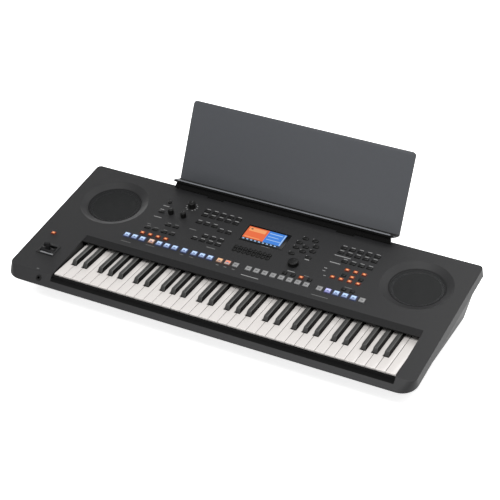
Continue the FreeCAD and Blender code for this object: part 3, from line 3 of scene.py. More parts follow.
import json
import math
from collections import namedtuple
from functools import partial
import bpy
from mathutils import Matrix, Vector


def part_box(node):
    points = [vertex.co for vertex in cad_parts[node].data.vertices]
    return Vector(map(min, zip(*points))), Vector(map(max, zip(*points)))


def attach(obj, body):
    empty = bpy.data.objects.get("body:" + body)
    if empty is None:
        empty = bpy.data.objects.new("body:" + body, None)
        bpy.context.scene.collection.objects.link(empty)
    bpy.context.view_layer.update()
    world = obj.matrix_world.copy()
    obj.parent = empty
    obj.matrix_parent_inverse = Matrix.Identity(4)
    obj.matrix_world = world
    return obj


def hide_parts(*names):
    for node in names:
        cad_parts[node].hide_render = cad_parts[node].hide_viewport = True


bl_info = {
    "name": "Arranger keyboard dressing",
    "version": (1, 0, 0),
    "blender": (4, 5, 0),
    "location": "3D View > Sidebar > Keyboard",
    "description": "Adds finishes, rounded keys, lit buttons, grilles and printing to the packed keyboard",
    "category": "Object",
}

import bmesh
import bpy
from bpy.props import FloatProperty, FloatVectorProperty, PointerProperty, StringProperty
from mathutils import Matrix, Vector

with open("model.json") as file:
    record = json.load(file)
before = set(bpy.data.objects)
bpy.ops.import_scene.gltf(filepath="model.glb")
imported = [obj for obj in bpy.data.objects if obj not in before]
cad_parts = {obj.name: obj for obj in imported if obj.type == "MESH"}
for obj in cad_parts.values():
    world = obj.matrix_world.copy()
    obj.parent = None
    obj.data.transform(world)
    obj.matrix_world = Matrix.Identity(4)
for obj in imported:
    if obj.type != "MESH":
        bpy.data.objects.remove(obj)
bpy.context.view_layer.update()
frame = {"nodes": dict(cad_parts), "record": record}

RECORD = frame["record"]
NODE_BODY = {node: body for body, nodes in RECORD["behaviour"]["bodies"].items() for node in nodes}
MM = 0.001
# Points closer than this are one point
SAME_POINT = 1e-6
# Edges sharper than this stay sharp in the shading
SMOOTH_ANGLE = math.radians(38)
# The record gives the dial's axis by a point this far above the panel
DIAL_AXIS_HEIGHT = 4.0 * MM
# The dial's middle lies this far up the panel, counted from the front of the case
DIAL_ROW = 271.8 * MM

WHITE_KEYS = ["keys_c", "keys_d", "keys_e", "keys_f", "keys_g", "keys_a", "keys_b"]
BLACK_KEYS = ["keys_c_sharp", "keys_d_sharp", "keys_f_sharp", "keys_g_sharp", "keys_a_sharp"]
KNOBS = ["volume_knob", "live_knob_left", "live_knob_right"]


def colour_setting(what, code):
    """A colour that a user can change."""
    return StringProperty(name=what.capitalize(), description=f"sRGB hex of the {what}", default=code)


def length_setting(label, what, length):
    """A length that a user can change."""
    return FloatProperty(name=label, description=what, default=length, unit="LENGTH")


def place_setting(label, what, place):
    """A place that a user can change."""
    return FloatVectorProperty(name=label, description=what, default=place, subtype="TRANSLATION",
                               unit="LENGTH")


class FinishColours(bpy.types.PropertyGroup):
    """Colours of the finishes."""

    case: colour_setting("moulded case", "#1C1C1D")
    rest: colour_setting("music rest", "#393B3F")
    white_key: colour_setting("white keys", "#C4C0BD")
    # The sides and tops of the black keys are one plastic: the darker sides are painted shade and the lighter
    # tops painted light
    black_key: colour_setting("sides of the black keys", "#040404")
    black_top: colour_setting("toothed tops of the black keys", "#242423")
    grille: colour_setting("speaker grilles", "#0C0E0F")
    grey: colour_setting("unlit caps", "#7C7C7C")
    ink: colour_setting("printed legends", "#7E7E7E")
    faint_ink: colour_setting("printed titles of the rows", "#565656")
    floor: colour_setting("studio floor", "#FFFFFF")


class DressSizes(bpy.types.PropertyGroup):
    """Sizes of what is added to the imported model."""

    key_round: length_setting("Key rounding", "Radius of the edges of the white keys", 0.9 * MM)
    sharp_round: length_setting("Sharp rounding", "Radius of the edges of the black keys", 2.3 * MM)
    cap_round: length_setting("Cap rounding", "Radius of the edges of the button caps", 0.7 * MM)
    rest_round: length_setting("Rest rounding", "Radius of the edges of the music rest", 1.2 * MM)
    grille_pitch: length_setting("Grille pitch", "Distance between the holes of the grille", 2.8 * MM)
    grille_web: length_setting("Grille web", "Metal left at each side of a hole", 0.5 * MM)
    print_height: length_setting("Print height", "Thickness of the printed legends", 0.06 * MM)
    # Width of the painted glow round a lit cap and of the painted shadow round an unlit one
    collar: length_setting("Collar", "Width of the frame printed round a lit cap", 1.6 * MM)
    trim_thick: length_setting(
        "Trim thickness", "Thickness of the black strips in front of and behind the keys", 0.3 * MM)


class StageSizes(bpy.types.PropertyGroup):
    """Camera and light of the studio."""

    camera_place: place_setting("Camera place", "Where the camera stands", (1.41580, -2.86579, 2.13474))
    camera_right: FloatVectorProperty(
        name="Camera right", description="Direction that is right in the picture",
        default=(0.88458, 0.46637, -0.00308), subtype="DIRECTION")
    camera_down: FloatVectorProperty(
        name="Camera down", description="Direction that is down in the picture",
        default=(0.24691, -0.47390, -0.84525), subtype="DIRECTION")
    lens: FloatProperty(
        name="Lens", description="Focal length on a 36 mm wide sensor, in millimetres", default=117.96)
    shift_x: FloatProperty(name="Shift across", description="Lens shift across", default=0.0756)
    shift_y: FloatProperty(name="Shift up", description="Lens shift up", default=0.0077)
    world_light: FloatProperty(name="Surround", description="Strength of the white surround", default=0.5)
    key_light: FloatProperty(
        name="Key light", description="Power of the large soft light", default=18.0, unit="POWER")
    key_place: place_setting("Key light place", "Where the large soft light hangs", (0.5, 1.2, 2.0))
    rear_light: FloatProperty(
        name="Rear light", description="Power of the low light behind the left end", default=14.0,
        unit="POWER")
    rear_place: place_setting("Rear light place", "Where the low light stands", (-1.7, 1.8, 0.45))
    front_light: FloatProperty(
        name="Front light", description="Power of the fill light in front", default=70.0, unit="POWER")
    front_place: place_setting("Front light place", "Where the fill light hangs", (0.2, -1.3, 2.4))
    floor_glow: FloatProperty(
        name="Floor glow", description="Light that the lit table gives off by itself", default=0.75)


def sizes():
    return bpy.context.scene.keyboard_sizes


def colours():
    return bpy.context.scene.keyboard_colours


def stage_sizes():
    return bpy.context.scene.keyboard_stage


def named(rows, name):
    """The row of a list in the record that has this name."""
    return next(row for row in rows if row["name"] == name)


def panel_matrix():
    """Frame of the sloping panel: X along the keys, Y up the slope from the case's front, Z outwards."""
    joint = named(RECORD["behaviour"]["joints"], "data_dial_turn")
    normal = Vector(joint["axis"])
    along = Vector((0.0, normal.z, -normal.y))
    origin = Vector(joint["pos_m"]) - normal * DIAL_AXIS_HEIGHT - along * DIAL_ROW
    origin.x = 0.0
    turn = Matrix((Vector((1.0, 0.0, 0.0)), along, normal)).transposed()
    return Matrix.Translation(origin) @ turn.to_4x4()


PANEL = panel_matrix()
PANEL_NORMAL = PANEL.to_3x3().col[2]
FROM_PANEL = PANEL.inverted()


def panel_place(point):
    return FROM_PANEL @ Vector(point)


def linear(code):
    """Linear colour of an sRGB hex value."""
    parts = [int(code[i:i + 2], 16) / 255 for i in (1, 3, 5)]
    return [p / 12.92 if p <= 0.04045 else ((p + 0.055) / 1.055) ** 2.4 for p in parts] + [1.0]


def add_node(tree, kind, values=None, links=None, **settings):
    """Adds a shader node, sets it up and links its inputs."""
    node = tree.nodes.new(kind)
    for name, value in settings.items():
        setattr(node, name, value)
    for name, value in (values or {}).items():
        node.inputs[name].default_value = value
    for name, socket in (links or {}).items():
        tree.links.new(socket, node.inputs[name])
    return node


def new_material(name, code, rough, **sockets):
    """A principled material, its tree and its shader; sockets are set directly on the shader."""
    material = bpy.data.materials.new(name)
    material.use_nodes = True
    tree = material.node_tree
    shader = tree.nodes["Principled BSDF"]
    shader.inputs["Base Color"].default_value = linear(code)
    shader.inputs["Roughness"].default_value = rough
    for socket, value in sockets.items():
        shader.inputs[socket.replace("_", " ")].default_value = value
    return material, tree, shader


def add_grain(tree, shader, grain_mm, height_mm, code=None, spread=0.0, bevel_mm=0.0, detail=3.0):
    """Surface grain of a given size: a bump and, where a colour is given, a slight change of shade."""
    place = add_node(tree, "ShaderNodeTexCoord").outputs["Object"]
    noise = add_node(tree, "ShaderNodeTexNoise", {"Scale": 1.0 / (grain_mm * MM), "Detail": detail},
                     {"Vector": place})
    bump = add_node(tree, "ShaderNodeBump", {"Strength": 1.0, "Distance": height_mm * MM},
                    {"Height": noise.outputs["Fac"]})
    if bevel_mm:
        soft = add_node(tree, "ShaderNodeBevel", {"Radius": bevel_mm * MM}, samples=4)
        tree.links.new(soft.outputs["Normal"], bump.inputs["Normal"])
    tree.links.new(bump.outputs["Normal"], shader.inputs["Normal"])
    if code:
        shade = linear(code)
        dark = [channel * (1 - spread) for channel in shade[:3]] + [1.0]
        light = [min(1.0, channel * (1 + spread)) for channel in shade[:3]] + [1.0]
        # The colour sockets of this node go by number: factor 0, colours 6 and 7, result 2
        mix = add_node(tree, "ShaderNodeMix", {6: dark, 7: light}, {0: noise.outputs["Fac"]},
                       data_type="RGBA")
        tree.links.new(mix.outputs[2], shader.inputs["Base Color"])


def grained(name, code, rough, grain_mm, height_mm, spread, bevel_mm=0.0, detail=3.0, **sockets):
    """A principled material whose surface has grain in slightly different shades."""
    material, tree, shader = new_material(name, code, rough, **sockets)
    add_grain(tree, shader, grain_mm, height_mm, code, spread, bevel_mm, detail)
    return material


def case_material():
    # Moulded ABS with a spark-eroded texture: charcoal, with a broad dull sheen and soft edges
    # The real grit is about 0.3 mm, drawn at 1.2 mm so that it shows
    return grained("moulded_abs_charcoal", colours().case, rough=0.5, grain_mm=1.2, height_mm=0.05,
                   spread=0.12, bevel_mm=1.6, Specular_IOR_Level=0.34)


def trim_material():
    # Black moulded ABS: darker and smoother than the case
    return grained("moulded_abs_black", "#0E0E0F", rough=0.42, grain_mm=1.5, height_mm=0.02, spread=0.15,
                   bevel_mm=0.6)


def fallboard_material():
    # Black ABS with a fine matt texture: dull, so the keys don't show in it. The same finish is painted as
    # shade on the music rest's rim and on the edge of the speaker grilles
    return grained("matt_abs_black", "#101011", rough=0.6, grain_mm=1.0, height_mm=0.03, spread=0.15,
                   Specular_IOR_Level=0.22)


def flock_and_painted_shade_material():
    # Nylon flock on a backing strip: soft black that throws back very little light, laid where shade falls as
    # painted shade
    # The fibres are under 0.1 mm apart, drawn at 0.6 mm so that they show
    return grained("nylon_flock_black", "#0B0B0B", rough=0.95, grain_mm=0.6, height_mm=0.1, spread=0.4,
                   Specular_IOR_Level=0.08, Sheen_Weight=0.05)


def acrylic_material():
    # Polished black acrylic of the display window: hard, clear reflection with fine haze marks
    return grained("polished_acrylic_black", "#050506", rough=0.16, grain_mm=12.0, height_mm=0.004,
                   spread=0.2, Specular_IOR_Level=0.25)


def rest_material():
    # Smooth moulded polystyrene: even dark grey with a soft reflection and faint flow marks
    return grained("moulded_polystyrene_grey", colours().rest, rough=0.38, grain_mm=9.0, height_mm=0.02,
                   spread=0.05, detail=2.0)


def rest_painted_highlight_material():
    # The same polystyrene on the lip's edge, painted lighter as a highlight, with a clearer reflection
    return grained("polished_polystyrene_grey", "#6C6E72", rough=0.28, grain_mm=9.0, height_mm=0.02,
                   spread=0.05, detail=2.0)


def white_key_material():
    # Polished acrylic-coated key plastic: warm white with a clear gloss
    return grained("polished_key_plastic", colours().white_key, rough=0.22, grain_mm=14.0, height_mm=0.01,
                   spread=0.02, detail=1.0, Coat_Weight=0.3)


def black_key_material():
    # Smooth key plastic of the sides, with little reflection, painted near black as shade
    return grained("polished_key_plastic_black", colours().black_key, rough=0.4, grain_mm=6.0,
                   height_mm=0.01, spread=0.15, Specular_IOR_Level=0.15)


def black_top_material():
    # Satin key plastic of the tops with a fine tooth that catches the light, painted lighter than the sides
    # as the light on the tops
    # The tooth is about 0.2 mm apart, drawn at 1 mm so that it shows
    return grained("satin_key_plastic_black", colours().black_top, rough=0.48, grain_mm=1.0, height_mm=0.05,
                   spread=0.25)


def black_painted_highlight_material():
    # The same key plastic on the rounded long edges, with a lighter line painted on as the highlight where
    # the light catches it
    return grained("polished_key_plastic_edge", "#585856", rough=0.3, grain_mm=6.0, height_mm=0.01,
                   spread=0.1)


def grille_material():
    # Perforated steel sheet with a dull powder coat
    return grained("powder_coated_steel", colours().grille, rough=0.6, grain_mm=0.8, height_mm=0.03,
                   spread=0.2)


def lamp_material(name, code, glow, unlit=0.4):
    # Milky polycarbonate lit from behind: even glow with a soft gloss on its face. The same glow is painted
    # on the panel as the rims round lit caps
    colour = linear(code)
    material, tree, shader = new_material(name, code, rough=0.35, Emission_Strength=glow,
                                          Emission_Color=colour)
    shader.inputs["Base Color"].default_value = [channel * unlit for channel in colour[:3]] + [1.0]
    add_grain(tree, shader, grain_mm=2.0, height_mm=0.02)
    return material


def cap_material(name, code):
    # Unlit milky polycarbonate: light grey, satin
    return grained(name, code, rough=0.4, grain_mm=1.5, height_mm=0.02, spread=0.06)


def dark_cap_material():
    # Satin black ABS of the small buttons and knobs
    return grained("satin_abs_buttons", "#070707", rough=0.4, grain_mm=0.9, height_mm=0.02, spread=0.25,
                   Specular_IOR_Level=0.28)


def ink_material(name, code):
    # Pad-printed ink: flat, slightly chalky
    return grained(name, code, rough=0.7, grain_mm=0.5, height_mm=0.01, spread=0.08)


def rubber_material():
    # Moulded rubber: dull and very dark
    return grained("moulded_rubber", "#151515", rough=0.8, grain_mm=1.5, height_mm=0.05, spread=0.2)


def steel_material():
    # Zinc-plated pressed steel: grey metal with a faint spangle
    return grained("zinc_plated_steel", "#8E9092", rough=0.35, grain_mm=0.7, height_mm=0.02, spread=0.15,
                   Metallic=1.0)


def silver_material():
    # Satin silver lacquer on moulded ABS: even grey with a soft metallic sheen
    return grained("satin_silver_lacquer", "#8C8D8F", rough=0.34, grain_mm=0.8, height_mm=0.01, spread=0.06,
                   Metallic=0.6)


def board_material():
    # Glass laminate under green solder mask, with the weave just showing
    return grained("solder_masked_laminate", "#1E5A2E", rough=0.35, grain_mm=1.0, height_mm=0.02,
                   spread=0.15)


def felt_material():
    # Pressed wool felt: fuzzy, dull red
    return grained("pressed_felt", "#6A1E1E", rough=0.95, grain_mm=0.8, height_mm=0.2, spread=0.3,
                   Sheen_Weight=0.4)


def nylon_material():
    # Glass-filled nylon of inner mouldings: mid grey, dull
    return grained("glass_filled_nylon", "#4A4A4A", rough=0.6, grain_mm=1.5, height_mm=0.04, spread=0.1)


# Colours of the lit caps, and how strongly each part of a cap glows; the rim is the cap's glow painted on the
# panel round it
LAMPS = {
    # The side of each lit cap is a darker copy of its top, painted shade on the cap's flanks
    "blue": {"top": "#8C9EC6", "window": "#BCD7F8", "side": "#5A6688", "collar": "#18224E"},
    "violet": {"top": "#9494CE", "window": "#C6C8F6", "side": "#64648C", "collar": "#211E4A"},
    "peach": {"top": "#B98F7A", "window": "#E4C3B2", "side": "#78605A", "collar": "#3E2013"},
    "amber": {"top": "#B9937A", "window": "#EAB98A", "side": "#78605A", "collar": "#3E2013"},
    "coral": {"top": "#B5A59C", "window": "#EE8C6C", "side": "#78605A", "collar": "#3E1813"},
    "orange": {"top": "#B04A1C", "window": "#F8AC70", "side": "#561D0A", "collar": "#45170A"},
}
GLOW = {"top": 0.45, "window": 0.6, "side": 0.25, "collar": 0.35}
# Colours of the display's panes, how strongly each glows, and its share of colour without the glow
SCREEN = {
    "orange": ("#F2703E", 0.75, 0.1), "blue": ("#3C86E4", 0.75, 0.1), "pale": ("#A9CDF6", 0.8, 0.1),
    "dark": ("#22303A", 0.4, 0.2), "amber": ("#F7A468", 0.8, 0.1),
}
MAKERS = {
    "case": case_material, "trim": trim_material, "fallboard": fallboard_material, "flock": flock_and_painted_shade_material,
    "acrylic": acrylic_material, "rest": rest_material, "rest_painted_highlight": rest_painted_highlight_material,
    "white": white_key_material, "black": black_key_material, "black_top": black_top_material,
    "black_painted_highlight": black_painted_highlight_material, "grille": grille_material, "dark": dark_cap_material,
    "rubber": rubber_material, "steel": steel_material, "silver": silver_material, "board": board_material,
    "felt": felt_material, "nylon": nylon_material,
    "grey_top": lambda: cap_material("milky_polycarbonate_unlit", colours().grey),
    # The sides are a darker grey than the tops as painted shade
    "grey_side": lambda: cap_material("milky_polycarbonate_side", "#666668"),
    "ink": lambda: ink_material("pad_printed_ink", colours().ink),
    "faint_ink": lambda: ink_material("pad_printed_faint_ink", colours().faint_ink),
    "mark": lambda: ink_material("pad_printed_mark", "#55668C"),
    "grey_mark": lambda: ink_material("pad_printed_grey_mark", "#4E4E50"),
}
for screen_tone, look in SCREEN.items():
    MAKERS[f"screen_{screen_tone}"] = partial(lamp_material, f"lit_screen_{screen_tone}", *look)
for lamp_name, tones in LAMPS.items():
    for cap_tone, tone_code in tones.items():
        MAKERS[f"{lamp_name}_{cap_tone}"] = partial(
            lamp_material, f"lit_polycarbonate_{lamp_name}_{cap_tone}", tone_code, GLOW[cap_tone])
MATERIALS = {}


def finish(name):
    """A material by its key, made once."""
    if name not in MATERIALS:
        MATERIALS[name] = MAKERS[name]()
    return MATERIALS[name]


def make_piece(name, shape, materials, node=None):
    """Makes a bmesh a piece that replaces a node, or trim that rides on the case."""
    mesh = bpy.data.meshes.new(name)
    shape.to_mesh(mesh)
    shape.free()
    mesh.shade_smooth()
    mesh.set_sharp_from_angle(angle=SMOOTH_ANGLE)
    piece = bpy.data.objects.new(name, mesh)
    bpy.context.scene.collection.objects.link(piece)
    for material in materials:
        mesh.materials.append(finish(material))
    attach(piece, NODE_BODY[node] if node else "case")
    if node:
        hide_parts(node)


def copy_of(node):
    """A merged copy of a node's mesh, its flat faces joined again."""
    shape = bmesh.new()
    shape.from_mesh(frame["nodes"][node].data)
    bmesh.ops.remove_doubles(shape, verts=shape.verts, dist=SAME_POINT)
    bmesh.ops.dissolve_limit(shape, angle_limit=math.radians(0.5), verts=shape.verts, edges=shape.edges)
    for face in shape.faces:
        face.material_index = 0
    return shape


def round_edges(shape, radius, segments=2, sharpest=25.0, keep=None):
    """Rounds the edges that turn by more than so many degrees, or those of them that keep accepts."""
    limit = math.radians(sharpest)
    edges = [edge for edge in shape.edges
             if len(edge.link_faces) == 2 and edge.calc_face_angle(0.0) > limit
             and (keep is None or keep(edge))]
    bmesh.ops.bevel(shape, geom=edges, offset=radius, offset_type="OFFSET", segments=segments, profile=0.5,
                    affect="EDGES", material=-1, clamp_overlap=True)


def linked(parts, kind):
    """The edges or faces that hold any of these vertices or edges, each once."""
    return list(dict.fromkeys(item for part in parts for item in getattr(part, f"link_{kind}")))


def new_verts(made):
    """The vertices in what an extrusion made."""
    return [item for item in made["geom"] if isinstance(item, bmesh.types.BMVert)]


def islands(shape):
    """Groups of connected faces."""
    seen, groups = set(), []
    for first in shape.faces:
        if first in seen:
            continue
        seen.add(first)
        group = [first]
        # The group grows while it is walked through
        for face in group:
            near = [other for other in linked(face.edges, "faces") if other not in seen]
            seen.update(near)
            group += near
        groups.append(group)
    return groups


Cap = namedtuple("Cap", "faces x along wide deep top")
# What lies this little below the highest point of a cap is still its top
CROWN_DEPTH = 0.1 * MM
# Caps whose middles are this close across the panel are in one column
COLUMN_WIDTH = 0.5 * MM


def find_caps(shape):
    """Caps of a button group from left to right, each with the middle, size and height of its top."""
    caps = []
    for faces in islands(shape):
        places = [panel_place(vert.co) for face in faces for vert in face.verts]
        top = max(place.z for place in places)
        crown = [place for place in places if place.z > top - CROWN_DEPTH]
        left, right = min(place.x for place in crown), max(place.x for place in crown)
        front, rear = min(place.y for place in crown), max(place.y for place in crown)
        caps.append(Cap(faces, (left + right) / 2, (front + rear) / 2, right - left, rear - front, top))
    return sorted(caps, key=lambda cap: (round(cap.x / COLUMN_WIDTH), cap.along))


def caps_of(node):
    """Where the caps of a node are, without keeping their mesh."""
    shape = copy_of(node)
    caps = [cap._replace(faces=None) for cap in find_caps(shape)]
    shape.free()
    return caps


def box_middle(node):
    """Middle of a node on the panel and half its width."""
    low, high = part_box(node)
    return panel_place((Vector(low) + Vector(high)) / 2), 0.5 * (high[0] - low[0])


def add_plate(shape, x, along, wide, deep, height, base=0.0, index=0, corner=0.0):
    """A plate that lies on the panel or stands off it, with its upright edges rounded."""
    made = bmesh.ops.create_cube(shape, size=1.0, matrix=Matrix.Diagonal((wide, deep, height, 1.0)))
    verts = made["verts"]
    if corner:
        uprights = [edge for edge in linked(verts, "edges")
                    if abs(edge.verts[0].co.z - edge.verts[1].co.z) > height / 2]
        made = bmesh.ops.bevel(shape, geom=uprights, offset=corner, offset_type="OFFSET", segments=3,
                               profile=0.5, affect="EDGES", material=-1, clamp_overlap=True)
        verts = list(dict.fromkeys(vert for face in made["faces"] for vert in face.verts))
    for face in linked(verts, "faces"):
        face.material_index = index
    place = PANEL @ Matrix.Translation((x, along, base + height / 2))
    bmesh.ops.transform(shape, matrix=place, verts=verts)


def add_strip(shape, left, right, profile, index=0):
    """A strip with the given profile, in millimetres up and off the panel, along the keys."""
    verts = [shape.verts.new((left, along * MM, height * MM)) for along, height in profile]
    face = shape.faces.new(verts)
    moved = new_verts(bmesh.ops.extrude_face_region(shape, geom=[face]))
    bmesh.ops.translate(shape, vec=(right - left, 0, 0), verts=moved)
    verts += moved
    faces = linked(verts, "faces")
    bmesh.ops.recalc_face_normals(shape, faces=faces)
    for face in faces:
        face.material_index = index
    bmesh.ops.transform(shape, matrix=PANEL, verts=verts)


class KEYBOARD_OT_cases(bpy.types.Operator):
    """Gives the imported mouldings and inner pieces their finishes"""

    bl_idname = "keyboard.cases"
    bl_label = "Cases and inner pieces"

    FINISHES = {
        "case": ["upper_case", "lower_case"],
        "trim": ["joystick_housing", "rear_jacks", "power_inlet"],
        "dark": ["headphone_jack"],
        "nylon": ["key_frame", "display_module"],
        "felt": ["key_stop_felt"],
        "rubber": ["contact_rubbers", "keypad_strips", "speaker_cones", "feet"],
        "steel": ["speaker_baskets", "speaker_magnets", "usb_sockets"],
        "board": ["contact_board", "panel_board_left", "panel_board_right", "main_board", "power_board",
                  "modulation_board"],
    }

    def execute(self, context):
        for name, nodes in self.FINISHES.items():
            for node in nodes:
                mesh = frame["nodes"][node].data
                mesh.materials.clear()
                mesh.materials.append(finish(name))
        return {"FINISHED"}


class KEYBOARD_OT_keys(bpy.types.Operator):
    """Makes the rounded white and black keys"""

    bl_idname = "keyboard.keys"
    bl_label = "Keys"

    # Only this much of a key, from its top down, can be seen and is rounded
    SEEN_DEPTH = 11.5 * MM
    # A face is a side up to the first upward part of its normal, and a flat top from the second on
    SIDE = 0.2
    FLAT = 0.93

    def execute(self, context):
        for node in WHITE_KEYS:
            shape = self.rounded(node, sizes().key_round)
            make_piece(f"rounded_{node}", shape, ["white"], node)
        for node in BLACK_KEYS:
            shape = self.rounded(node, sizes().sharp_round)
            self.paint(shape)
            make_piece(f"rounded_{node}", shape, ["black", "black_painted_highlight", "black_top"], node)
        return {"FINISHED"}

    def rounded(self, node, radius):
        """A copy of the keys of a node, rounded where they can be seen."""
        shape = copy_of(node)
        level = max(vert.co.z for vert in shape.verts) - self.SEEN_DEPTH
        round_edges(shape, radius, segments=3, keep=lambda edge: min(v.co.z for v in edge.verts) > level)
        return shape

    def paint(self, shape):
        """Finishes black keys: sides in painted shade, then rounded long edges with a painted highlight, then
        tops and sloping fronts painted lighter as lit faces.
        """
        for face in shape.faces:
            normal = face.normal
            painted_highlight_edge = normal.z < self.FLAT and abs(normal.x) > abs(normal.y)
            face.material_index = 0 if normal.z <= self.SIDE else 1 if painted_highlight_edge else 2


class KEYBOARD_OT_buttons(bpy.types.Operator):
    """Makes the button caps, lit and unlit, with their windows and printed marks"""

    bl_idname = "keyboard.buttons"
    bl_label = "Buttons"

    # Finish of each cap, from left to right and from front to rear
    CAPS = {
        "style_section_buttons": ["blue"] * 3 + ["peach"] + ["blue"] * 7,
        "start_stop_buttons": ["amber", "coral", "grey"],
        "registration_buttons": ["grey"] * 8,
        "multi_pad_buttons": ["grey", "violet", "blue", "blue", "blue", "grey"],
        "accompaniment_buttons": ["orange"] * 4,
        "voice_effect_buttons": ["orange"] * 3,
        "modulation_button": ["orange"],
        "bank_buttons": ["dark", "dark", "orange", "dark"],
        "part_buttons": ["orange", "orange", "dark", "dark", "orange", "orange", "dark", "orange", "dark"],
    }
    PLAIN = ["tempo_buttons", "style_category_buttons", "song_buttons", "assign_buttons",
             "navigation_buttons", "voice_category_buttons", "standby_button"]
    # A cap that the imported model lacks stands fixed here, along and up the panel
    FIXED_CAP = (-268.0 * MM, 326.3 * MM)
    # Caps wider than this are the square ones of the front row
    SQUARE_CAP = 12.0 * MM
    # Caps are rounded from this height off the panel on
    ROUND_FROM = 1.0 * MM
    # Faces whose normals follow the panel's at least this well are tops
    TOP_FACING = 0.9
    # The opening of a rim of painted light is this much larger than its cap
    PAINTED_RIM_PLAY = 0.8 * MM
    # What a face carries, as shares of the cap: shift to the rear, width, depth and radius of the corners
    SMALL_WINDOW = (0.0, 0.52, 0.5, 0.2)
    WINDOW = (0.13, 0.8, 0.56, 0.1)
    MARK = (-0.06, 0.4, 0.2, 0.0)

    def execute(self, context):
        painted_light_rims = bmesh.new()
        painted_light_rim_finishes = [f"{lamp}_collar" for lamp in LAMPS] + ["trim"]
        for node in list(self.CAPS) + self.PLAIN:
            shape = copy_of(node)
            caps = find_caps(shape)
            lamps = self.CAPS.get(node, ["dark"] * len(caps))
            palette = ["dark", "mark", "grey_mark"]
            for lamp in sorted(set(lamps) - {"dark"}):
                palette += [f"{lamp}_{tone}" for tone in ("top", "side", "window")
                            if (lamp, tone) != ("grey", "window")]
            self.paint(caps, lamps, palette)
            round_edges(shape, sizes().cap_round,
                        keep=lambda edge: min(panel_place(v.co).z for v in edge.verts) > self.ROUND_FROM)
            for cap, lamp in zip(caps, lamps):
                if lamp != "dark":
                    self.add_face(shape, cap, lamp, palette)
                    # Round a lit cap the rim is its glow painted on the panel, round a grey cap a painted
                    # black shadow of the gap
                    tint = "trim" if lamp == "grey" else f"{lamp}_collar"
                    self.add_collar(painted_light_rims, cap, painted_light_rim_finishes.index(tint))
            make_piece(f"caps_{node}", shape, palette, node)
        make_piece("cap_collars", painted_light_rims, painted_light_rim_finishes)
        self.add_fixed_cap()
        return {"FINISHED"}

    def paint(self, caps, lamps, palette):
        """Gives the top and the sides of each cap their finish; the sides take a darker copy of the top's
        colour as painted shade.
        """
        for cap, lamp in zip(caps, lamps):
            for face in cap.faces:
                tone = "top" if face.normal.dot(PANEL_NORMAL) > self.TOP_FACING else "side"
                face.material_index = palette.index("dark" if lamp == "dark" else f"{lamp}_{tone}")

    def add_face(self, shape, cap, lamp, palette):
        """Puts the bright window and the printed mark on a lit cap, or the mark on an unlit one."""
        rise = sizes().print_height

        def add(part, base, name):
            shift, wide, deep, corner = part
            add_plate(shape, cap.x, cap.along + shift * cap.deep, wide * cap.wide, deep * cap.deep, rise,
                      base, palette.index(name), corner * cap.deep)

        if cap.wide < self.SQUARE_CAP:
            add(self.SMALL_WINDOW, cap.top, f"{lamp}_window")
            return
        if lamp != "grey":
            add(self.WINDOW, cap.top, f"{lamp}_window")
        add(self.MARK, cap.top + rise, "grey_mark" if lamp == "grey" else "mark")

    def add_collar(self, shape, cap, index):
        """A thin frame of painted light on the panel round a cap: painted glow round a lit cap, painted
        shadow round an unlit one.
        """
        rim, rise = sizes().collar, sizes().print_height
        wide, deep = cap.wide + self.PAINTED_RIM_PLAY, cap.deep + self.PAINTED_RIM_PLAY
        for side in (-1, 1):
            add_plate(shape, cap.x + side * (wide + rim) / 2, cap.along, rim, deep + 2 * rim, rise,
                      index=index)
            add_plate(shape, cap.x, cap.along + side * (deep + rim) / 2, wide, rim, rise, index=index)

    def add_fixed_cap(self):
        """Puts a fixed cap of the size of the tempo buttons left of the live knobs."""
        like = caps_of("tempo_buttons")[0]
        shape = bmesh.new()
        add_plate(shape, *self.FIXED_CAP, like.wide, like.deep, like.top)
        round_edges(shape, sizes().cap_round)
        make_piece("fixed_cap", shape, ["dark"])


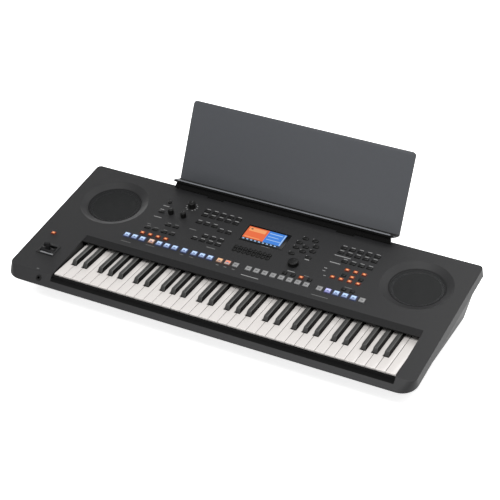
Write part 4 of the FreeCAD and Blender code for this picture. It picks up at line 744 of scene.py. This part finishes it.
class KEYBOARD_OT_knobs(bpy.types.Operator):
    """Makes the knobs and the data dial with their flutes and pointers"""

    bl_idname = "keyboard.knobs"
    bl_label = "Knobs and dial"

    ROUND = 0.8 * MM
    # Edges above this share of the height are rounded
    CROWN = 0.8
    KNOB_FLUTES = 18
    DIAL_FLUTES = 30
    FLUTE_DEPTH = 0.6 * MM
    # The fluted sleeve starts this far off the panel and ends this far below the top
    SLEEVE_FOOT = 1.0 * MM
    SLEEVE_HEAD = 1.4 * MM
    # It stands out from the knob this far and reaches into it this far
    SLEEVE_PROUD = 0.25 * MM
    SLEEVE_WALL = 0.8 * MM
    # Pointer of a knob: shift and length in radii, width and height
    POINTER = (0.5, 0.9)
    POINTER_WIDE = 1.0 * MM
    POINTER_HIGH = 0.06 * MM
    # Finger dimple of the dial: shift, size and corner in radii, and height
    DIMPLE = (0.55, 0.36, 0.17)
    DIMPLE_HIGH = 0.05 * MM

    def execute(self, context):
        for node in KNOBS + ["data_dial"]:
            shape = copy_of(node)
            top = max(panel_place(v.co).z for v in shape.verts)
            round_edges(shape, self.ROUND, sharpest=40.0,
                        keep=lambda edge: panel_place(edge.verts[0].co).z > self.CROWN * top)
            place, radius = box_middle(node)
            if node == "data_dial":
                self.add_flutes(shape, place, radius, top, self.DIAL_FLUTES)
                shift, size, corner = (share * radius for share in self.DIMPLE)
                add_plate(shape, place.x, place.y + shift, size, size, self.DIMPLE_HIGH, top, 2, corner)
            else:
                self.add_flutes(shape, place, radius, top, self.KNOB_FLUTES)
                shift, long = (share * radius for share in self.POINTER)
                add_plate(shape, place.x, place.y + shift, self.POINTER_WIDE, long, self.POINTER_HIGH, top, 1)
            make_piece(f"turned_{node}", shape, ["dark", "faint_ink", "trim"], node)
        return {"FINISHED"}

    def add_flutes(self, shape, place, radius, top, count):
        """A sleeve of upright grooves round a knob: every third point of a ring is drawn in."""
        ring = bmesh.ops.create_circle(shape, cap_ends=False, segments=3 * count,
                                       radius=radius + self.SLEEVE_PROUD)["verts"]
        for order, vert in enumerate(ring):
            vert.co *= 1.0 if order % 3 else 1.0 - self.FLUTE_DEPTH / radius
            vert.co.z = self.SLEEVE_FOOT
        upper = new_verts(bmesh.ops.extrude_edge_only(shape, edges=linked(ring, "edges")))
        height = top - self.SLEEVE_HEAD - self.SLEEVE_FOOT
        bmesh.ops.translate(shape, vec=(0, 0, height), verts=upper)
        sleeve = ring + upper
        # The sleeve closes inwards at both ends
        for verts in (ring, upper):
            rim = [edge for edge in linked(verts, "edges") if all(vert in verts for vert in edge.verts)]
            inner = new_verts(bmesh.ops.extrude_edge_only(shape, edges=rim))
            for vert in inner:
                vert.co.xy *= (radius - self.SLEEVE_WALL) / vert.co.xy.length
            sleeve += inner
        bmesh.ops.recalc_face_normals(shape, faces=linked(sleeve, "faces"))
        bmesh.ops.transform(shape, matrix=PANEL @ Matrix.Translation((place.x, place.y, 0)), verts=sleeve)


class KEYBOARD_OT_joystick(bpy.types.Operator):
    """Makes the rounded barrel and lever of the joystick and the bar in front of it"""

    bl_idname = "keyboard.joystick"
    bl_label = "Joystick"

    ROUND = 0.8 * MM
    # The bar lies this far right of the middle of the housing and this far behind the front of its rim
    BAR_SHIFT = 5.2 * MM
    BAR_INSET = 3.4 * MM
    # Length, depth and height of the bar, and radii of its corners and of its edges
    BAR_SIZE = (34.5 * MM, 4.0 * MM, 1.4 * MM)
    BAR_CORNER = 1.2 * MM
    BAR_ROUND = 0.5 * MM

    def execute(self, context):
        for node in ("joystick_gimbal", "joystick_lever"):
            shape = copy_of(node)
            round_edges(shape, self.ROUND, sharpest=40.0)
            make_piece(f"rounded_{node}", shape, ["fallboard"], node)
        middle, _ = box_middle("joystick_housing")
        rim = [panel_place(vert.co) for vert in frame["nodes"]["joystick_housing"].data.vertices]
        front, top = min(place.y for place in rim), max(place.z for place in rim)
        shape = bmesh.new()
        add_plate(shape, middle.x + self.BAR_SHIFT, front + self.BAR_INSET, *self.BAR_SIZE, top,
                  corner=self.BAR_CORNER)
        round_edges(shape, self.BAR_ROUND, sharpest=60.0)
        make_piece("joystick_bar", shape, ["silver"])
        return {"FINISHED"}


class KEYBOARD_OT_key_strips(bpy.types.Operator):
    """Makes the black strips on the slip in front of the keys and on the fallboard behind them"""

    bl_idname = "keyboard.key_strips"
    bl_label = "Strips at the keys"

    # What they lie on, in millimetres. Slip: front of its rail, its foot and its rear up the panel, then
    # the heights of rail and top. Fallboard: its lip and rear, then three heights from its foot to its top
    SLIP = (10.6, 24.1, 26.3, -10.4, -2.8)
    FALLBOARD = (159.2, 179.7, -4.6, -2.2, 0.0)
    # They reach past the outer keys by this
    PAST_KEYS = 2.2 * MM

    def execute(self, context):
        left = min(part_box(node)[0][0] for node in WHITE_KEYS) - self.PAST_KEYS
        right = max(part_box(node)[1][0] for node in WHITE_KEYS) + self.PAST_KEYS
        thick = sizes().trim_thick / MM
        shape = bmesh.new()
        # The slip's strip is black flock: partly the slip's own black, partly painted shade of the gap under
        # the keys
        front, foot, rear, rail, top = self.SLIP
        add_strip(shape, left, right, [
            (front, rail), (front, rail + thick), (foot - thick, rail + thick), (foot - thick, top + thick),
            (rear, top + thick), (rear, top), (foot, top), (foot, rail)], 0)
        lip, rear, low, drop, top = self.FALLBOARD
        add_strip(shape, left, right, [
            (lip, low), (lip - thick, low), (lip - thick, drop + thick), (rear, top + thick / 2),
            (rear, top - thick), (lip, drop)], 1)
        make_piece("key_strips", shape, ["flock", "fallboard"])
        return {"FINISHED"}


class KEYBOARD_OT_socket_ring(bpy.types.Operator):
    """Makes the ring round the headphone socket"""

    bl_idname = "keyboard.socket_ring"
    bl_label = "Socket ring"

    RADIUS = 6.2 * MM
    HEIGHT = 0.4 * MM
    SEGMENTS = 48

    def execute(self, context):
        mount = named(RECORD["mounts"], "headphone_socket")
        shape = bmesh.new()
        bmesh.ops.create_circle(shape, cap_ends=True, segments=self.SEGMENTS, radius=self.RADIUS)
        hole = list(shape.faces)
        bmesh.ops.inset_region(shape, faces=hole, thickness=self.RADIUS - mount["dims"]["r_mm"] * MM,
                               use_boundary=True, use_even_offset=True)
        bmesh.ops.delete(shape, geom=hole, context="FACES")
        bmesh.ops.solidify(shape, geom=shape.faces, thickness=self.HEIGHT)
        bmesh.ops.recalc_face_normals(shape, faces=shape.faces)
        low = min(vert.co.z for vert in shape.verts)
        turn = Vector((0, 0, 1)).rotation_difference(Vector(mount["axis"])).to_matrix().to_4x4()
        place = Matrix.Translation(mount["pos_m"]) @ turn @ Matrix.Translation((0, 0, -low))
        bmesh.ops.transform(shape, matrix=place, verts=shape.verts)
        make_piece("socket_ring", shape, ["fallboard"])
        return {"FINISHED"}


class KEYBOARD_OT_music_rest(bpy.types.Operator):
    """Makes the music rest with its rounded edges"""

    bl_idname = "keyboard.music_rest"
    bl_label = "Music rest"

    # Heights off the panel of the lip's foot, of its edge with the painted highlight and of its top, and
    # where the lip ends
    LIP_FOOT = 15.0 * MM
    LIP_EDGE = 23.6 * MM
    LIP_HEIGHT = 27.0 * MM
    LIP_REAR = 429.6 * MM
    # The lower corners of the apron lie outside the first and are drawn out to the second
    APRON_END = 250.0 * MM
    APRON_REACH = 283.0 * MM
    CORNER_HEIGHT = 6.0 * MM
    # Least part of a normal that points forwards on a front, and upwards or with the plate on flat faces
    FRONT_FACING = 0.5
    FLAT_FACING = 0.9

    def execute(self, context):
        shape = copy_of("music_rest")
        self.draw_out_apron(shape)
        self.split_lip(shape)
        round_edges(shape, sizes().rest_round, segments=3, sharpest=30.0)
        self.paint(shape)
        make_piece("rounded_music_rest", shape, ["rest", "flock", "rest_painted_highlight", "fallboard"], "music_rest")
        return {"FINISHED"}

    def draw_out_apron(self, shape):
        """Makes the apron's lower corners reach almost as far out as the tray."""
        for vert in shape.verts:
            low = panel_place(vert.co).z < self.CORNER_HEIGHT
            if low and self.APRON_END < abs(vert.co.x) < self.APRON_REACH:
                vert.co.x = math.copysign(self.APRON_REACH, vert.co.x)

    def split_lip(self, shape):
        """Cuts the lip's front along the lower side of its edge with the painted highlight."""
        front = [face for face in shape.faces if face.normal.y < -self.FRONT_FACING
                 and self.LIP_FOOT < panel_place(face.calc_center_median()).z < self.LIP_HEIGHT]
        parts = [part for face in front for part in (*face.verts, *face.edges)]
        bmesh.ops.bisect_plane(shape, geom=front + list(dict.fromkeys(parts)), dist=SAME_POINT,
                               plane_co=PANEL @ Vector((0, 0, self.LIP_EDGE)), plane_no=PANEL_NORMAL)

    def paint(self, shape):
        """Gives the plate its finish, a painted highlight on the lip's edge, and painted shade on the rim,
        the tray, the lip's front and the apron.
        """
        plate = max(shape.faces, key=lambda face: face.calc_area()).normal.copy()
        for face in shape.faces:
            place = panel_place(face.calc_center_median())
            if place.z > self.LIP_HEIGHT:
                # Rim of the plate in matt black as painted shade
                face.material_index = 0 if abs(face.normal.dot(plate)) > self.FLAT_FACING else 3
            elif place.z > self.LIP_EDGE and place.y < self.LIP_REAR:
                # Painted highlight on the edge of the lip
                face.material_index = 2
            elif face.normal.z > self.FLAT_FACING or face.normal.y < -self.FRONT_FACING:
                # Floor of the tray, and front of the lip and of the apron, in black flock as painted shade
                face.material_index = 1


class KEYBOARD_OT_grilles(bpy.types.Operator):
    """Makes the perforated speaker grilles"""

    bl_idname = "keyboard.grilles"
    bl_label = "Speaker grilles"

    THICK = 1.0 * MM
    # The plate stands this far above the middle of the node that it replaces
    LIFT = 0.3 * MM
    # No hole comes closer to the rim than this
    EDGE = 1.6 * MM
    # Profile of the plain edge, in millimetres in from the rim and off the perforated field
    PROFILE = [(4.0, -1.0), (0.0, -1.0), (0.0, 0.1), (2.6, 0.1), (4.0, -0.2)]
    TURN_STEPS = 96

    def execute(self, context):
        for side in ("left", "right"):
            node = f"speaker_grille_{side}"
            centre, radius = box_middle(node)
            shape = bmesh.new()
            self.add_field(shape, radius)
            self.add_edge(shape, radius)
            bmesh.ops.remove_doubles(shape, verts=shape.verts, dist=SAME_POINT)
            bmesh.ops.recalc_face_normals(shape, faces=shape.faces)
            place = PANEL @ Matrix.Translation((centre.x, centre.y, centre.z + self.LIFT))
            bmesh.ops.transform(shape, matrix=place, verts=shape.verts)
            make_piece(f"perforated_{node}", shape, ["grille", "fallboard"], node)
        return {"FINISHED"}

    def add_field(self, shape, radius):
        """A round field of square holes."""
        pitch = sizes().grille_pitch
        cells = int(2 * radius / pitch)
        bmesh.ops.create_grid(shape, x_segments=cells, y_segments=cells, size=cells * pitch / 2)
        outside = [face for face in shape.faces
                   if max(vert.co.length for vert in face.verts) > radius - self.EDGE]
        bmesh.ops.delete(shape, geom=outside, context="FACES")
        made = bmesh.ops.inset_individual(shape, faces=shape.faces, thickness=sizes().grille_web,
                                          use_even_offset=True)
        webs = set(made["faces"])
        holes = [face for face in shape.faces if face not in webs]
        bmesh.ops.delete(shape, geom=holes, context="FACES")
        bmesh.ops.solidify(shape, geom=shape.faces, thickness=self.THICK)

    def add_edge(self, shape, radius):
        """The plain edge round the field, in the second finish: matt black as painted shadow of the dish's
        step.
        """
        field = set(shape.faces)
        verts = [shape.verts.new((radius - inset * MM, 0, height * MM)) for inset, height in self.PROFILE]
        edges = [shape.edges.new(pair) for pair in zip(verts, verts[1:] + verts[:1])]
        bmesh.ops.spin(shape, geom=verts + edges, cent=(0, 0, 0), axis=(0, 0, 1), dvec=(0, 0, 0),
                       angle=2 * math.pi, steps=self.TURN_STEPS, use_merge=True)
        # The edge ring is painted matt black as the shadow of the dish's step
        for face in shape.faces:
            face.material_index = 0 if face in field else 1


class KEYBOARD_OT_display(bpy.types.Operator):
    """Makes the display window and the plain panes that it shows"""

    bl_idname = "keyboard.display"
    bl_label = "Display"

    ROUND = 0.4 * MM
    # What the display shows: width, depth, thickness of a layer, and how far left of the window's middle
    WIDE = 97.0 * MM
    DEEP = 50.0 * MM
    RISE = 0.04 * MM
    SHIFT = 3.6 * MM
    # Share of the width that the left pane takes, and of the depth that the strip below takes
    SPLIT = 0.54
    STRIP = 0.15
    # Panes, and plain bars and blocks in place of what a player would read: finish, layer, and from
    # where to where they reach across and upwards, as shares of the display
    PANES = [
        ("orange", 0.5, 0.0, SPLIT, STRIP, 1.0), ("blue", 0.5, SPLIT, 1.0, STRIP, 1.0),
        ("dark", 0.5, 0.0, 1.0, 0.0, STRIP), ("amber", 1.5, 0.04, 0.48, 0.68, 0.93),
        ("dark", 2.5, 0.08, 0.13, 0.80, 0.88), ("amber", 1.5, 0.04, 0.44, 0.22, 0.27),
        ("pale", 1.5, 0.58, 0.92, 0.82, 0.87), ("pale", 1.5, 0.58, 0.86, 0.60, 0.64),
        # The last pale bar, along the right edge, is a painted highlight and nothing that a player would read
        ("pale", 1.5, 0.58, 0.95, 0.38, 0.42), ("pale", 1.5, 0.96, 0.99, 0.18, 0.97),
    ]
    # Nine blocks in the strip below
    PANES += [("pale", 1.5, 0.03 + 0.105 * step, 0.08 + 0.105 * step, 0.04, 0.11) for step in range(9)]

    def execute(self, context):
        shape = copy_of("display_lens")
        round_edges(shape, self.ROUND, sharpest=30.0)
        make_piece("window_display_lens", shape, ["acrylic"], "display_lens")
        centre, _ = box_middle("display_lens")
        left, front = centre.x - self.SHIFT - self.WIDE / 2, centre.y - self.DEEP / 2
        shape = bmesh.new()
        for tone, layer, from_x, to_x, from_y, to_y in self.PANES:
            x, along = left + self.WIDE * (from_x + to_x) / 2, front + self.DEEP * (from_y + to_y) / 2
            add_plate(shape, x, along, self.WIDE * (to_x - from_x), self.DEEP * (to_y - from_y), self.RISE,
                      self.RISE * layer, list(SCREEN).index(tone))
        make_piece("display_panes", shape, [f"screen_{tone}" for tone in SCREEN])
        return {"FINISHED"}


class KEYBOARD_OT_printing(bpy.types.Operator):
    """Prints plain bars and dots where the panel carries its legends"""

    bl_idname = "keyboard.printing"
    bl_label = "Printed legends"

    # Groups with a plain bar printed behind each cap: how far behind, and ink
    BEHIND = {"style_category_buttons": (8.6 * MM, "ink"), "voice_category_buttons": (8.6 * MM, "ink"),
              "tempo_buttons": (7.4 * MM, "faint_ink"), "song_buttons": (7.0 * MM, "ink")}
    BAR_SIZE = (10.0 * MM, 2.0 * MM)
    # Other bars of each ink: place along and up the panel, length and depth in millimetres
    BARS = {
        "ink": [
            (34.0, 193.6, 44.0, 2.2), (-268.0, 351.0, 16.0, 2.0), (-267.0, 306.0, 20.0, 2.0),
            (-271.0, 336.2, 10.0, 2.0), (192.0, 313.6, 26.0, 2.6), (199.0, 340.4, 40.0, 2.4),
            (180.0, 289.0, 7.0, 2.4), (180.0, 279.0, 7.0, 1.8), (188.5, 264.0, 6.0, 1.8),
            (128.2, 299.2, 11.0, 3.2), (113.0, 247.2, 18.0, 2.0),
        ],
        "faint_ink": [
            (-291.7, 194.5, 26.0, 1.6), (-231.0, 203.4, 23.0, 1.4), (-147.2, 203.4, 10.0, 1.4),
            (-121.5, 203.4, 10.0, 1.4), (-53.3, 202.6, 7.0, 2.6), (-33.3, 202.6, 7.0, 2.6),
            (-12.3, 202.6, 7.0, 2.6), (208.0, 194.0, 40.0, 2.0), (-273.0, 275.0, 10.0, 2.0),
            (-166.5, 296.0, 18.0, 2.2), (-95.6, 251.0, 22.0, 2.6), (255.0, 245.4, 18.0, 1.8),
            (152.0, 245.6, 12.0, 1.8), (20.0, 303.2, 22.0, 1.6), (-431.2, 28.9, 6.0, 3.0),
        ],
    }
    # Dots left of and behind the navigation buttons
    DOT_SIZE = (2.0 * MM, 2.0 * MM)
    DOT_LEFT = 7.0 * MM
    DOT_BEHIND = 6.0 * MM
    # The volume knob has a scale of this many dots, spread over this many degrees, this far off it
    SCALE_DOTS = 11
    SCALE_SWEEP = 300
    SCALE_GAP = 5.0 * MM
    SCALE_DOT = (2.6 * MM, 2.6 * MM)

    def execute(self, context):
        shape = bmesh.new()
        palette = list(self.BARS)
        rise = sizes().print_height
        for node, (behind, ink) in self.BEHIND.items():
            for cap in caps_of(node):
                add_plate(shape, cap.x, cap.along + behind, *self.BAR_SIZE, rise, index=palette.index(ink))
        for cap in caps_of("navigation_buttons"):
            add_plate(shape, cap.x - self.DOT_LEFT, cap.along + self.DOT_BEHIND, *self.DOT_SIZE, rise)
        for index, bars in enumerate(self.BARS.values()):
            for bar in bars:
                add_plate(shape, *(value * MM for value in bar), rise, index=index)
        place, radius = box_middle("volume_knob")
        radius += self.SCALE_GAP
        for step in range(self.SCALE_DOTS):
            angle = math.radians(90 + self.SCALE_SWEEP * (0.5 - step / (self.SCALE_DOTS - 1)))
            add_plate(shape, place.x + radius * math.cos(angle), place.y + radius * math.sin(angle),
                      *self.SCALE_DOT, rise)
        make_piece("panel_printing", shape, palette)
        return {"FINISHED"}


class KEYBOARD_OT_stage(bpy.types.Operator):
    """Sets up the floor, the soft light and the camera"""

    bl_idname = "keyboard.stage"
    bl_label = "Studio"

    # Half the width of the floor, sizes of the lights and the point that they aim at, in metres
    FLOOR_REACH = 30.0
    KEY_SIZE = (1.5, 1.5)
    FRONT_SIZE = (2.5, 1.2)
    REAR_SIZE = (1.8, 0.5)
    AIM = Vector((0.0, 0.0, 0.1))
    # Width of the sensor in millimetres, and how far the camera sees in metres
    SENSOR = 36.0
    SIGHT = 100.0

    def execute(self, context):
        scene = context.scene
        settings = stage_sizes()
        scene.view_settings.view_transform = "Standard"
        scene.world = bpy.data.worlds.new("surround")
        scene.world.use_nodes = True
        background = scene.world.node_tree.nodes["Background"]
        background.inputs["Color"].default_value = (1.0, 1.0, 1.0, 1.0)
        background.inputs["Strength"].default_value = settings.world_light
        self.add_floor(scene, settings)
        self.add_light(scene, "soft_key", settings.key_light, settings.key_place, self.KEY_SIZE)
        self.add_light(scene, "front_fill", settings.front_light, settings.front_place, self.FRONT_SIZE)
        self.add_light(scene, "low_rear", settings.rear_light, settings.rear_place, self.REAR_SIZE)
        self.add_camera(scene, settings)
        return {"FINISHED"}

    def add_floor(self, scene, settings):
        """The white table that the keyboard lies on."""
        shape = bmesh.new()
        bmesh.ops.create_grid(shape, x_segments=1, y_segments=1, size=self.FLOOR_REACH)
        mesh = bpy.data.meshes.new("studio_floor")
        shape.to_mesh(mesh)
        shape.free()
        floor = bpy.data.objects.new("studio_floor", mesh)
        scene.collection.objects.link(floor)
        # Opal acrylic of a lit table: white, matt, with hardly any shadow on it
        material, tree, shader = new_material("opal_acrylic_table", colours().floor, rough=0.9,
                                              Emission_Strength=settings.floor_glow)
        add_grain(tree, shader, grain_mm=40.0, height_mm=0.02)
        mesh.materials.append(material)

    def add_light(self, scene, name, power, place, size):
        """A soft rectangular light that points at the keyboard."""
        light = bpy.data.lights.new(name, "AREA")
        light.shape = "RECTANGLE"
        light.energy = power
        light.size, light.size_y = size
        lamp = bpy.data.objects.new(name, light)
        lamp.location = place
        lamp.rotation_euler = (self.AIM - Vector(place)).to_track_quat("-Z", "Y").to_euler()
        scene.collection.objects.link(lamp)

    def add_camera(self, scene, settings):
        """The camera at the photograph's place and angle."""
        right = Vector(settings.camera_right).normalized()
        back = right.cross(-Vector(settings.camera_down)).normalized()
        up = back.cross(right).normalized()
        turn = Matrix((right, up, back)).transposed()
        camera = bpy.data.cameras.new("camera")
        camera.sensor_fit = "HORIZONTAL"
        camera.sensor_width = self.SENSOR
        camera.lens = settings.lens
        camera.shift_x = settings.shift_x
        camera.shift_y = settings.shift_y
        camera.clip_end = self.SIGHT
        view = bpy.data.objects.new("camera", camera)
        view.matrix_world = Matrix.Translation(settings.camera_place) @ turn.to_4x4()
        scene.collection.objects.link(view)
        scene.camera = view


STEPS = [
    KEYBOARD_OT_cases, KEYBOARD_OT_keys, KEYBOARD_OT_buttons, KEYBOARD_OT_knobs, KEYBOARD_OT_joystick,
    KEYBOARD_OT_key_strips, KEYBOARD_OT_socket_ring, KEYBOARD_OT_music_rest, KEYBOARD_OT_grilles,
    KEYBOARD_OT_display, KEYBOARD_OT_printing, KEYBOARD_OT_stage,
]


class KEYBOARD_PT_steps(bpy.types.Panel):
    """Lists the steps of the dressing and its settings"""

    bl_idname = "KEYBOARD_PT_steps"
    bl_label = "Arranger keyboard"
    bl_space_type = "VIEW_3D"
    bl_region_type = "UI"
    bl_category = "Keyboard"

    def draw(self, context):
        for step in STEPS:
            self.layout.operator(step.bl_idname)
        for group in (sizes(), colours(), stage_sizes()):
            for name in group.__annotations__:
                self.layout.prop(group, name)


GROUPS = {"keyboard_sizes": DressSizes, "keyboard_colours": FinishColours, "keyboard_stage": StageSizes}
CLASSES = list(GROUPS.values()) + STEPS + [KEYBOARD_PT_steps]


def register():
    for kind in CLASSES:
        bpy.utils.register_class(kind)
    for name, kind in GROUPS.items():
        setattr(bpy.types.Scene, name, PointerProperty(type=kind))


def unregister():
    for name in GROUPS:
        delattr(bpy.types.Scene, name)
    for kind in reversed(CLASSES):
        bpy.utils.unregister_class(kind)


def main():
    register()
    bpy.ops.keyboard.cases()
    bpy.ops.keyboard.keys()
    bpy.ops.keyboard.buttons()
    bpy.ops.keyboard.knobs()
    bpy.ops.keyboard.joystick()
    bpy.ops.keyboard.key_strips()
    bpy.ops.keyboard.socket_ring()
    bpy.ops.keyboard.music_rest()
    bpy.ops.keyboard.grilles()
    bpy.ops.keyboard.display()
    bpy.ops.keyboard.printing()
    bpy.ops.keyboard.stage()


if __name__ == "__main__":
    main()
